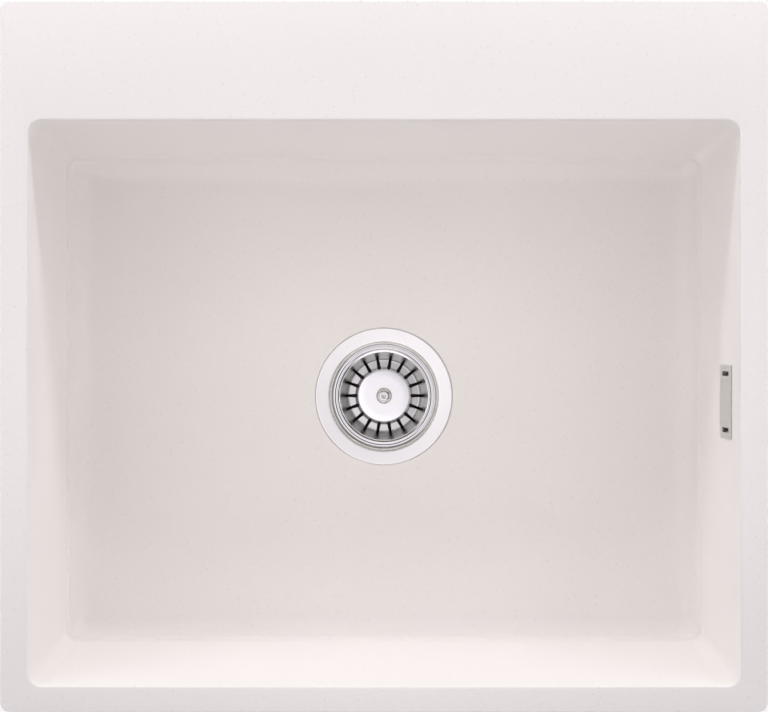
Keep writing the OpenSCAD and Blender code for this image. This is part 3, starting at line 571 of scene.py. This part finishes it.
# The line is the sheet's upper face from the stem to the lip. The slots' radii and half widths are
# those in plan. SLOT_LIMIT is where the sheet is whole again, and WELL_LIMIT where its lip begins.
basket_line = [(3.06, -22), (3.5, -22), (9, -22), (15, -22), (22.0, -22), (23.4, -25.4), (30.0, -26.2),
               (35.2, -10.5), (36.0, -6.9), (38.0, -6.0), (39.3, -6.55), (40.6, -6.0), (42.6, -6.6),
               (42.6, -7.3)]
basket_ease = np.array([0, 0, 0, 0, 1.7, .8, 1.5, 3, .8, .35, .5, .35, .4, 0]) * mm
basket_steps = [0, 1, 1, 1, 7, 5, 8, 8, 5, 4, 4, 4, 5, 0]
SLOT_IN, SLOT_MID, SLOT_OUT = 24.1, 29.5, 33.6
SLOT_BULB, SLOT_NECK, SLOT_WAIST, SLOT_TIP = 1.6, 1.45, 1.15, 0.4
SLOT_ROWS = np.arange(24.7, 33.5, 0.6)
SLOT_LIMIT, WELL_LIMIT = 35, 36


def slot_half_width(radius):
    """Half the slot's width at a radius: a round inner end, a tapering neck and a round tip (mm)."""
    bulb = np.sqrt(np.maximum(SLOT_BULB ** 2 - (radius - SLOT_IN) ** 2, 0.0))
    neck = np.interp(radius, [SLOT_IN, SLOT_MID, SLOT_OUT], [SLOT_NECK, SLOT_WAIST, SLOT_TIP])
    neck *= (radius > SLOT_IN) & (radius < SLOT_OUT)
    tip = np.sqrt(np.maximum(SLOT_TIP ** 2 - (radius - SLOT_OUT) ** 2, 0.0))
    return np.maximum(np.maximum(bulb, neck), tip)


def slotted_sheet(name, line, ease, across=5):
    """The basket's upper face on a polar grid whose lines part round each slot.

    Rows follow the eased profile and extra radii at the slots' round ends. In each half sector the
    columns run from the slot's edge to the sector's border, so a slot is a clean opening.
    """
    path = eased_skin(np.array(line, float)[:, None] * mm, ease, ease, basket_steps, False)
    path = path[:, 0] / mm
    arc = np.concatenate([[0], np.cumsum(np.hypot(*np.diff(path, axis=0).T))])
    ends = [SLOT_IN - SLOT_BULB * np.cos(np.linspace(0, np.pi / 2, 7)),
            SLOT_OUT + SLOT_TIP * np.sin(np.linspace(0, np.pi / 2, 6))]
    inner = path[:, 0] < WELL_LIMIT
    extra = np.interp(np.concatenate(ends + [SLOT_ROWS]), path[inner, 0], arc[inner])
    stops = np.unique(np.round(np.concatenate([arc, extra]), 4))
    radius, height = np.interp(stops, arc, path[:, 0]), np.interp(stops, arc, path[:, 1])
    half = np.arcsin(np.clip(slot_half_width(radius) / radius, 0, 1)) * (radius < SLOT_LIMIT)
    border = np.pi / SLOTS
    s = np.linspace(0.0, 1.0, across + 1)[None]
    side = half[:, None] + s * (border - half[:, None])
    centres = 2 * np.pi / SLOTS * np.arange(SLOTS)
    points, faces = [], []
    for centre in centres:
        for sign in (-1, 1):
            angle = centre + sign * side
            first = sum(len(p) for p in points)
            points.append(np.stack([radius[:, None] * np.cos(angle) * mm,
                                    WASTE_Y + radius[:, None] * np.sin(angle) * mm,
                                    FLOOR_Z + height[:, None] * mm + 0 * angle], -1).reshape(-1, 3))
            i, j = np.meshgrid(np.arange(len(radius) - 1), np.arange(across), indexing="ij")
            a = first + i * (across + 1) + j
            quad = np.stack([a, a + across + 1, a + across + 2, a + 1], -1).reshape(-1, 4)
            faces.append(quad if sign > 0 else quad[:, ::-1])
    mesh = bpy.data.meshes.new(name)
    mesh.from_pydata(np.concatenate(points).tolist(), [], np.concatenate(faces).tolist())
    build = bmesh.new()
    build.from_mesh(mesh)
    bmesh.ops.remove_doubles(build, verts=build.verts, dist=2e-6)
    bmesh.ops.dissolve_degenerate(build, edges=build.edges, dist=1e-6)
    build.to_mesh(mesh)
    build.free()
    mesh.polygons.foreach_set("use_smooth", np.ones(len(mesh.polygons), bool))
    return mesh


def thickened(mesh, thickness):
    """The sheet as a closed solid of that thickness, grown to its underside, with its rims sharp."""
    body = placed("sheet", mesh)
    sheet = body.modifiers.new("sheet", "SOLIDIFY")
    sheet.thickness, sheet.offset, sheet.use_even_offset = thickness, -1.0, False
    bpy.context.view_layer.update()
    result = bpy.data.meshes.new_from_object(body.evaluated_get(bpy.context.evaluated_depsgraph_get()))
    bpy.data.objects.remove(body)
    return settle_mesh(result, 38)


basket = placed("slotted_basket", thickened(
    slotted_sheet("slotted_basket", basket_line, basket_ease), 0.0009))


def painted_well_shade(tree, wheel, where):
    """The pressed well between disc and lip is painted darker as shade, and is rougher: a mask from the
    distance.
    """
    inner = ramp(tree, wheel.outputs["Away"], 0.0215, 0.0228)
    outer = ramp(tree, wheel.outputs["Away"], 0.0362, 0.0350)
    return math_node(tree, "MULTIPLY", inner, outer), (0.62, 0.62, 0.61), 0.14


# The basket's well is painted darker as shade.
basket_steel = steel("basket_steel", (0.88, 0.885, 0.885), 0.10, 0.15, painted_well_shade)
basket.data.materials.append(basket_steel)
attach(basket, "strainer_basket")
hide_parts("basket")

# Knob and stem
# The stem is a turned steel rod with a collar that carries the basket. The knob is screwed on top:
# a waisted steel button, slightly domed, with a small dimple in its middle.
knob_profile = [(0.02, -10.3), (1.0, -10.1), (1.9, -9.15), (3.2, -9.02), (5.3, -9.9), (6.4, -11.3),
                (6.4, -13.2), (4.0, -16.0), (4.0, -19.4), (5.8, -21.0), (5.8, -21.9), (3.05, -21.9),
                (3.05, -13.4), (0.02, -13.4)]
knob = placed("basket_knob", settle_mesh(skin_mesh("basket_knob", turned_skin(
    knob_profile, np.array([0, .4, .5, 1.0, 1.2, .8, 1.2, 2, 1.6, .5, .2, .2, .1, 0]) * mm, None,
    [1, 3, 4, 5, 5, 4, 4, 5, 4, 3, 2, 2, 1, 1], False, 96), False, True), 40))
knob_steel = steel("knob_steel", (0.80, 0.82, 0.80), 0.20, 2.0, Scale=3800.0)
knob.data.materials.append(knob_steel)
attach(knob, "strainer_stem")
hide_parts("basket_knob")

stem_profile = [(0.02, -13.6), (3.0, -13.6), (3.0, -23.0), (5.0, -23.0), (5.0, -27.45), (3.0, -27.45),
                (3.0, -49.5), (0.02, -49.5)]
stem = placed("basket_stem", settle_mesh(skin_mesh("basket_stem", turned_skin(
    stem_profile, np.array([0, .4, .05, .4, .4, .05, .7, 0]) * mm, None, [1, 3, 1, 3, 3, 1, 3, 1],
    False, 64), False, True), 40))
turned = steel("turned_steel", (0.72, 0.715, 0.71), 0.26, 2.5, Scale=5200.0)
stem.data.materials.append(turned)
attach(stem, "strainer_stem")
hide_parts("basket_stem")

# Plug, washer and nut
# The plug is a moulded rubber bell that closes the cup round the screw's head. A thin steel washer
# and a brass nut hold it on the stem.
plug_profile = [(3.05, -27.5), (20.5, -27.5), (27.0, -30.5), (27.0, -40.7), (24.2, -40.7),
                (24.2, -31.5), (22.0, -30.5), (3.05, -30.5)]
plug = placed("plug_bell", settle_mesh(skin_mesh("plug_bell", turned_skin(
    plug_profile, np.array([.3, 2.5, 2.5, .6, .4, 1.2, 1, .2]) * mm, None, [2, 6, 6, 4, 3, 4, 3, 2])), 40))
rubber, tree, shader, where = new_material("black_rubber")
dust = noise(tree, where, 260.0, 4.0, 0.6)
tree.links.new(colour_mix(tree, dust, (0.014, 0.014, 0.015), (0.034, 0.034, 0.036)),
               shader.inputs["Base Color"])
tree.links.new(math_node(tree, "MULTIPLY_ADD", dust, 0.25, 0.48), shader.inputs["Roughness"])
bump(tree, shader, dust, 0.00005, 0.5)
plug.data.materials.append(rubber)
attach(plug, "strainer_stem")
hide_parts("basket_plug")

washer_profile = [(3.05, -30.5), (8.0, -30.5), (8.0, -31.3), (3.05, -31.3)]
washer = placed("plug_washer", settle_mesh(skin_mesh("plug_washer", turned_skin(
    washer_profile, 0.0002, None, 2, True, 64)), 40))
washer.data.materials.append(turned)
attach(washer, "strainer_stem")
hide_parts("plug_washer")


def hex_nut_mesh(name, across_flats, bore, low, high):
    """A hexagon nut round the waste's axis: flats, a chamfer on both faces and a round bore (mm).

    The rim radius at angle a is the flat's distance over cos of the angle to the flat's middle,
    cut at the chamfer's radius near both faces, where the chamfer falls by 30 degrees.
    """
    steps, fall = 96, 0.58
    angle = np.linspace(0.0, 2 * np.pi, steps, endpoint=False)
    hexagon = across_flats / 2 / np.cos(angle % (np.pi / 3) - np.pi / 6)
    round_off = across_flats / 2 * 1.02
    chamfer = np.maximum(hexagon - round_off, 0) * fall
    bottom, top, hole = (np.full(steps, value) for value in (low, high, bore))
    rows = [
        (hole, bottom), (hole, top), (np.minimum(hexagon, round_off), top),
        (hexagon, high - chamfer), (hexagon, low + chamfer), (np.minimum(hexagon, round_off), bottom),
    ]
    grid = np.array([np.stack([r * np.cos(angle), WASTE_Y / mm + r * np.sin(angle),
                               FLOOR_Z / mm + z], -1) for r, z in rows]) * mm
    return settle_mesh(skin_mesh(name, grid), 25)


brass, tree, shader, where = new_material("brass")
wheel = placed_group(tree, wheel_group, where, Scale=4200.0)
tree.links.new(colour_mix(tree, wheel.outputs["Marks"], (0.60, 0.43, 0.18), (0.74, 0.56, 0.27)),
               shader.inputs["Base Color"])
shader.inputs["Metallic"].default_value = 1.0
tree.links.new(math_node(tree, "MULTIPLY_ADD", wheel.outputs["Marks"], 0.18, 0.20),
               shader.inputs["Roughness"])
bump(tree, shader, wheel.outputs["Marks"], 0.00002, 0.6)
plug_nut = placed("plug_nut", hex_nut_mesh("plug_nut", 10.0, 3.02, -34.5, -31.3))
plug_nut.data.materials.append(brass)
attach(plug_nut, "strainer_stem")
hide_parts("plug_nut")

# Seals
# Two moulded rubber rings clamp the bowl's floor between them: one under the cup's flange, one
# under the floor on top of the waste body.
for name, node, ring_profile in (
    ("flange_ring", "flange_seal", [(46.2, -1.25), (54.5, -1.25), (54.5, -3.0), (46.2, -3.0)]),
    ("lower_ring", "lower_seal", [(46.0, -13.0), (56.5, -13.0), (56.5, -16.0), (46.0, -16.0)]),
):
    ring = placed(name, settle_mesh(skin_mesh(name, turned_skin(ring_profile, 0.0004, None, 3)), 50))
    ring.data.materials.append(rubber)
    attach(ring, "sink")
    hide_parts(node)

# Waste body
# A white polypropylene moulding under the floor. Inside it a hub on three arms holds the nut for
# the clamping screw; a side spigot takes the overflow pipe and the outlet is threaded.


def softened_copy(node, name, edge, steps=2, crease=30.0):
    """A CAD node's own shape as one clean mesh, with its sharp edges rounded by `edge` metres."""
    build = bmesh.new()
    build.from_mesh(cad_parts[node].data)
    bmesh.ops.remove_doubles(build, verts=build.verts, dist=2e-6)
    bmesh.ops.dissolve_limit(build, angle_limit=np.radians(0.4), verts=build.verts, edges=build.edges)
    mesh = bpy.data.meshes.new(name)
    build.to_mesh(mesh)
    build.free()
    mesh.materials.clear()
    mesh.polygons.foreach_set("use_smooth", np.ones(len(mesh.polygons), bool))
    mesh.set_sharp_from_angle(angle=np.radians(crease))
    piece = placed(name, mesh)
    bevel = piece.modifiers.new("edges", "BEVEL")
    bevel.width, bevel.segments, bevel.limit_method = edge, steps, "ANGLE"
    bevel.angle_limit = np.radians(38.0)
    bevel.harden_normals = True
    bevel.use_clamp_overlap = True
    return piece


def threaded_skin(radius, low, high, pitch, depth, around=72, per_turn=10):
    """A screw thread as rows round Z: the radius dips along a helix and fades at both ends.

    At height z and angle a the dip is depth times a rounded tooth wave of z over the pitch plus a
    over a full turn. The arguments are in mm, as are the points.
    """
    z = np.arange(low, high + 1e-6, pitch / per_turn)[:, None]
    angle = np.linspace(0.0, 2 * np.pi, around, endpoint=False)[None]
    wave = (z / pitch + angle / (2 * np.pi)) % 1.0
    tooth = 0.5 + 0.5 * np.cos(2 * np.pi * wave)
    fade = np.clip(np.minimum(z - low, high - z) / pitch, 0.0, 1.0)
    r = radius - depth * (1 - tooth) * fade
    return np.stack([r * np.cos(angle), r * np.sin(angle), z + 0 * angle], -1)


plastic, tree, shader, where = new_material("white_plastic")
mould = noise(tree, where, 900.0, 3.0, 0.6)
tint = noise(tree, where, 22.0, 2.0)
tree.links.new(colour_mix(tree, tint, (0.735, 0.735, 0.715), (0.785, 0.785, 0.765)),
               shader.inputs["Base Color"])
tree.links.new(math_node(tree, "MULTIPLY_ADD", mould, 0.20, 0.34), shader.inputs["Roughness"])
bump(tree, shader, mould, 0.00004, 0.5)
waste_body = softened_copy("waste_body", "waste_moulding", 0.0006)
waste_body.data.materials.append(plastic)
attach(waste_body, "sink")
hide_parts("waste_body")

waste_screw = softened_copy("waste_screw", "waste_screw_bright", 0.0004)
waste_screw.data.materials.append(turned)
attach(waste_screw, "sink")
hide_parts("waste_screw")

waste_nut = placed("waste_nut", hex_nut_mesh("waste_nut", 16.97, 5.05, -64.0, -56.0))
waste_nut.data.materials.append(brass)
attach(waste_nut, "sink")
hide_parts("waste_nut")

# Overflow cover
# A satin steel plate, sheared from sheet, that lies flat on the leaning right wall. Two upright slots
# near its ends let the water in, and two pins behind it push into the frame.
COVER_Y, COVER_Z = -0.034, -0.046
COVER_HALF_Y, COVER_HALF_Z, COVER_THICK = 0.0275, 0.0215, 0.0012
WATER_SLOT_OFF, WATER_SLOT_HALF = 0.0209, 0.0017
PIN_RADIUS, PIN_LENGTH, PIN_OFF = 0.0016, 0.0077, 0.0115
WALL_LEAN = 0.0020 / 0.158


def wall_face(z):
    """Where the right wall's inner face stands at a height."""
    return WALL_TOP - WALL_LEAN * (RIM_TOP - z)


def leaning_plate(name, half_y, half_z, thick, edge):
    """A plate on the right wall as rings from its back to its face, skewed to the wall's lean."""
    a = np.radians(np.linspace(0.0, 90.0, 5))
    levels = [(0.0, 0.0)] + [(edge * (1 - np.cos(t)), thick - edge * (1 - np.sin(t))) for t in a]
    rows = []
    for inset, level in levels:
        corner = 0.0020 - inset * 0.7
        ring = rounded_ring(half_y - inset, inset - half_z, half_z - inset, corner, level, 1, 4)
        z = COVER_Z + ring[:, 1]
        rows.append(np.column_stack([wall_face(z) - ring[:, 2], COVER_Y + ring[:, 0], z]))
    return settle_mesh(skin_mesh(name, np.array(rows), False, True), 40)


plate = leaning_plate("overflow_plate", COVER_HALF_Y, COVER_HALF_Z, COVER_THICK, 0.0007)
for end in (-1, 1):
    middle = COVER_Y + end * WATER_SLOT_OFF
    slot_cut = block_mesh("water_slot", (0.250, middle - WATER_SLOT_HALF, COVER_Z - 0.010),
                          (0.258, middle + WATER_SLOT_HALF, COVER_Z + 0.014), 0.0003)
    plate = carved(plate, slot_cut, "DIFFERENCE")
    pin = drum_mesh("cover_pin", (0.0, 0.0), PIN_RADIUS, 0.0, PIN_LENGTH, 32)
    points = np.empty(len(pin.vertices) * 3)
    pin.vertices.foreach_get("co", points)
    points = points.reshape(-1, 3)
    seat = np.column_stack([0.2541 + points[:, 2], COVER_Y + points[:, 1],
                            COVER_Z + end * PIN_OFF + points[:, 0]])
    pin.vertices.foreach_set("co", seat.ravel())
    plate = carved(plate, settle_mesh(pin), "UNION")
cover = placed("overflow_plate", settle_mesh(plate, 35))
satin, tree, shader, where = new_material("cover_steel")
brushed = tree.nodes.new("ShaderNodeMapping")
brushed.inputs["Scale"].default_value = (30.0, 30.0, 2600.0)
tree.links.new(where, brushed.inputs["Vector"])
strokes = noise(tree, brushed.outputs["Vector"], 1.0, 3.0, 0.65)
# Faces that look up, such as the plate's top edge, are painted darker as shade, in place of their
# reflection of the bright sky.
facing = tree.nodes.new("ShaderNodeSeparateXYZ")
tree.links.new(tree.nodes.new("ShaderNodeNewGeometry").outputs["Normal"], facing.inputs[0])
painted_top_shade = ramp(tree, facing.outputs[2], 0.25, 0.75)
face_colour = colour_mix(tree, strokes, (0.68, 0.69, 0.66), (0.82, 0.83, 0.80))
tree.links.new(colour_mix(tree, painted_top_shade, face_colour, (0.40, 0.40, 0.39)), shader.inputs["Base Color"])
shader.inputs["Metallic"].default_value = 1.0
tree.links.new(math_node(tree, "MULTIPLY_ADD", strokes, 0.22, 0.24), shader.inputs["Roughness"])
bump(tree, shader, strokes, 0.00001, 0.6)
cover.data.materials.append(satin)
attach(cover, "overflow_plate")
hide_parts("overflow_cover")

# Overflow frame, housing and pipe
# White mouldings: the frame in the wall, the flat duct down the outside and the rigid pipe under
# the bowl with its two ribbed nuts. Steel screws hold the frame, rubber rings seal the joints.
for node, name, edge, material, slot_name in (
    ("overflow_frame", "frame_moulding", 0.0003, plastic, "white_plastic"),
    ("overflow_screws", "frame_screws", 0.0002, turned, "turned_steel"),
    ("overflow_seal", "wall_gasket", 0.0004, rubber, "black_rubber"),
    ("overflow_housing", "duct_moulding", 0.0012, plastic, "white_plastic"),
    ("overflow_pipe", "duct_pipe", 0.0003, plastic, "white_plastic"),
    ("overflow_nut_waste", "pipe_nut_inner", 0.0005, plastic, "white_plastic"),
    ("overflow_nut_housing", "pipe_nut_outer", 0.0005, plastic, "white_plastic"),
    ("overflow_washers", "pipe_rings", 0.0004, rubber, "black_rubber"),
):
    piece = softened_copy(node, name, edge)
    piece.data.materials.append(material)
    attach(piece, "sink")
    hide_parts(node)

# Clamps
# Eight pressed brackets hook into pockets under the rim. Each carries a zinc plated screw, slotted
# at its foot, and a cast claw on its neck that swings out under the worktop.
zinc, tree, shader, where = new_material("zinc_plated_steel")
spangle = tree.nodes.new("ShaderNodeTexVoronoi")
spangle.inputs["Scale"].default_value = 240.0
tree.links.new(where, spangle.inputs["Vector"])
tone = tree.nodes.new("ShaderNodeSeparateColor")
tree.links.new(spangle.outputs["Color"], tone.inputs[0])
tree.links.new(colour_mix(tree, tone.outputs[0], (0.56, 0.57, 0.58), (0.68, 0.69, 0.70)),
               shader.inputs["Base Color"])
shader.inputs["Metallic"].default_value = 1.0
tree.links.new(math_node(tree, "MULTIPLY_ADD", tone.outputs[1], 0.18, 0.28), shader.inputs["Roughness"])
bump(tree, shader, noise(tree, where, 700.0, 3.0), 0.00002, 0.5)
brackets = softened_copy("clamp_brackets", "clamp_brackets_pressed", 0.0003)
brackets.data.materials.append(zinc)
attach(brackets, "sink")
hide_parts("clamp_brackets")


def level_ring(source, radius, z):
    """The source ring pulled to a radius and a height."""
    flat = source[:, :, :2] / np.linalg.norm(source[:, :, :2], axis=2, keepdims=True) * radius
    return np.concatenate([flat, np.full_like(flat[:, :, :1], z)], 2)


# A screw round its own axis, in mm: a head at the foot, the thread, and a neck that holds the claw.
SCREW_OUT = 0.006
thread = threaded_skin(3.0, -112.1, -66.0, 1.0, 0.55, 36, 6)
screw_rows = np.concatenate(
    [level_ring(thread[:1], radius, z) for radius, z in (
        (3.6, -116.1), (4.0, -115.7), (4.0, -112.5), (3.7, -112.1))] + [thread]
    + [level_ring(thread[-1:], radius, z) for radius, z in (
        (3.0, -62.15), (2.4, -62.1), (2.4, -55.4), (3.1, -55.4), (3.2, -55.2), (3.0, -54.5),
        (2.4, -54.4))])
reach = np.array([6.0, 0.5])
for k, (x, y, turn) in enumerate(clamp_spots, 1):
    way = np.radians(turn)
    axis = np.array([x + SCREW_OUT * np.cos(way), y + SCREW_OUT * np.sin(way)]) / mm
    rows = screw_rows + [*axis, 0.0]
    shaft = settle_mesh(skin_mesh("clamp_screw", rows * mm, False, True), 40)
    slot_cut = block_mesh("driver_slot", (*((axis - reach) * mm), -0.118),
                          (*((axis + reach) * mm), -0.1138), 0.00005)
    screw = placed(f"clamp_screw_{k}_threaded", settle_mesh(carved(shaft, slot_cut, "DIFFERENCE"), 35))
    screw.data.materials.append(zinc)
    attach(screw, f"screw_{k}")
    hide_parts(f"clamp_screw_{k}")
    claw = softened_copy(f"clamp_claw_{k}", f"clamp_claw_{k}_cast", 0.0004)
    claw.data.materials.append(zinc)
    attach(claw, f"claw_{k}")
    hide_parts(f"clamp_claw_{k}")

# Floor and light
# A white floor under the sink, and plain soft lamps round it. The long soft shadow of the rear rim on
# the side walls shows a wide lamp low behind the sink; weaker ones stand at the sides and in front,
# and two narrow ones straight above fill the bowl's floor.
FLOOR_HALF = 6
floor_z = cad_box[0][2] - 0.0005
corners = [(x * FLOOR_HALF, y * FLOOR_HALF, floor_z) for x, y in ((-1, -1), (1, -1), (1, 1), (-1, 1))]
floor_mesh = bpy.data.meshes.new("floor")
floor_mesh.from_pydata(corners, [], [(0, 1, 2, 3)])
floor = placed("floor", floor_mesh)
white, tree, shader, _ = new_material("white_floor")
shader.inputs["Base Color"].default_value = (0.85, 0.85, 0.85, 1.0)
shader.inputs["Roughness"].default_value = 0.9
glow = tree.nodes.new("ShaderNodeEmission")
glow.inputs["Color"].default_value = (1.0, 1.0, 1.0, 1.0)
blend = tree.nodes.new("ShaderNodeMixShader")
path = tree.nodes.new("ShaderNodeLightPath")
tree.links.new(math_node(tree, "MULTIPLY", path.outputs["Is Camera Ray"], 0.8), blend.inputs[0])
tree.links.new(shader.outputs[0], blend.inputs[1])
tree.links.new(glow.outputs[0], blend.inputs[2])
tree.links.new(blend.outputs[0], tree.nodes["Material Output"].inputs["Surface"])
floor.data.materials.append(white)

# The light is slightly magenta, as the photograph's white balance leaves it, and the lamps over the
# bowl are a little warmer.
LAMP_TINT, SPOT_TINT = (1.0, 0.948, 1.0), (1.0, 0.93, 0.92)


def soft_lamp(name, place, size, power):
    """A rectangular lamp at a place, facing the middle of the sink."""
    data = bpy.data.lights.new(name, "AREA")
    data.shape, data.size, data.size_y = "RECTANGLE", *size
    data.energy, data.color = power, LAMP_TINT
    lamp = bpy.data.objects.new(name, data)
    lamp.location = place
    x, y, z = place
    lamp.rotation_euler = (np.arctan2(np.hypot(x, y), z), 0.0, np.arctan2(x, -y))
    scene.collection.objects.link(lamp)


soft_lamp("rear_strip", (0.0, 1.10, 0.46), (1.6, 0.22), 12.0)
soft_lamp("left_lamp", (-1.3, 0.1, 0.55), (1.4, 0.5), 6.0)
soft_lamp("right_lamp", (1.3, 0.1, 0.55), (1.4, 0.5), 6.0)
soft_lamp("front_lamp", (0.0, -1.3, 0.75), (1.6, 0.5), 4.5)
for x in (-0.080, 0.080):
    spot_data = bpy.data.lights.new("bowl_spot", "SPOT")
    spot_data.energy, spot_data.shadow_soft_size = 27.0, 0.12
    spot_data.color = SPOT_TINT
    spot_data.spot_size, spot_data.spot_blend = np.radians(12.8), 0.6
    spot = bpy.data.objects.new("bowl_spot", spot_data)
    spot.location = (x, -0.045, 1.7)
    spot.visible_glossy = False
    scene.collection.objects.link(spot)

# The sky is white where the camera sees it and dimmer as a light. Polished metal mirrors it brighter
# from straight above, and brighter on one side than on the other, as the photograph's steel shows.
SKY_LIGHT, SKY_LOW, SKY_TOP, SKY_SIDE = 0.31, 0.05, 0.71, 0.28
world = bpy.data.worlds.new("studio")
scene.world = world
world.use_nodes = True
tree = world.node_tree
path = tree.nodes.new("ShaderNodeLightPath")
seen = math_node(tree, "MAXIMUM", path.outputs["Is Camera Ray"], path.outputs["Is Transmission Ray"])
toward = tree.nodes.new("ShaderNodeTexCoord")
rise = tree.nodes.new("ShaderNodeSeparateXYZ")
tree.links.new(toward.outputs["Generated"], rise.inputs[0])
side = math_node(tree, "ADD", rise.outputs[0], rise.outputs[1])
side = ramp(tree, side, -0.12, 0.12, SKY_SIDE, -SKY_SIDE)
above = math_node(tree, "ADD", ramp(tree, rise.outputs[2], 0.76, 0.95, SKY_LOW, SKY_TOP), side)
mirrored = math_node(tree, "MULTIPLY", path.outputs["Is Glossy Ray"], above)
strength = math_node(tree, "MULTIPLY_ADD", seen, 1.0 - SKY_LIGHT, SKY_LIGHT)
strength = math_node(tree, "ADD", strength, mirrored)
sky = tree.nodes["Background"]
tree.links.new(colour_mix(tree, seen, LAMP_TINT, (1.0, 1.0, 1.0)), sky.inputs["Color"])
tree.links.new(strength, sky.inputs["Strength"])
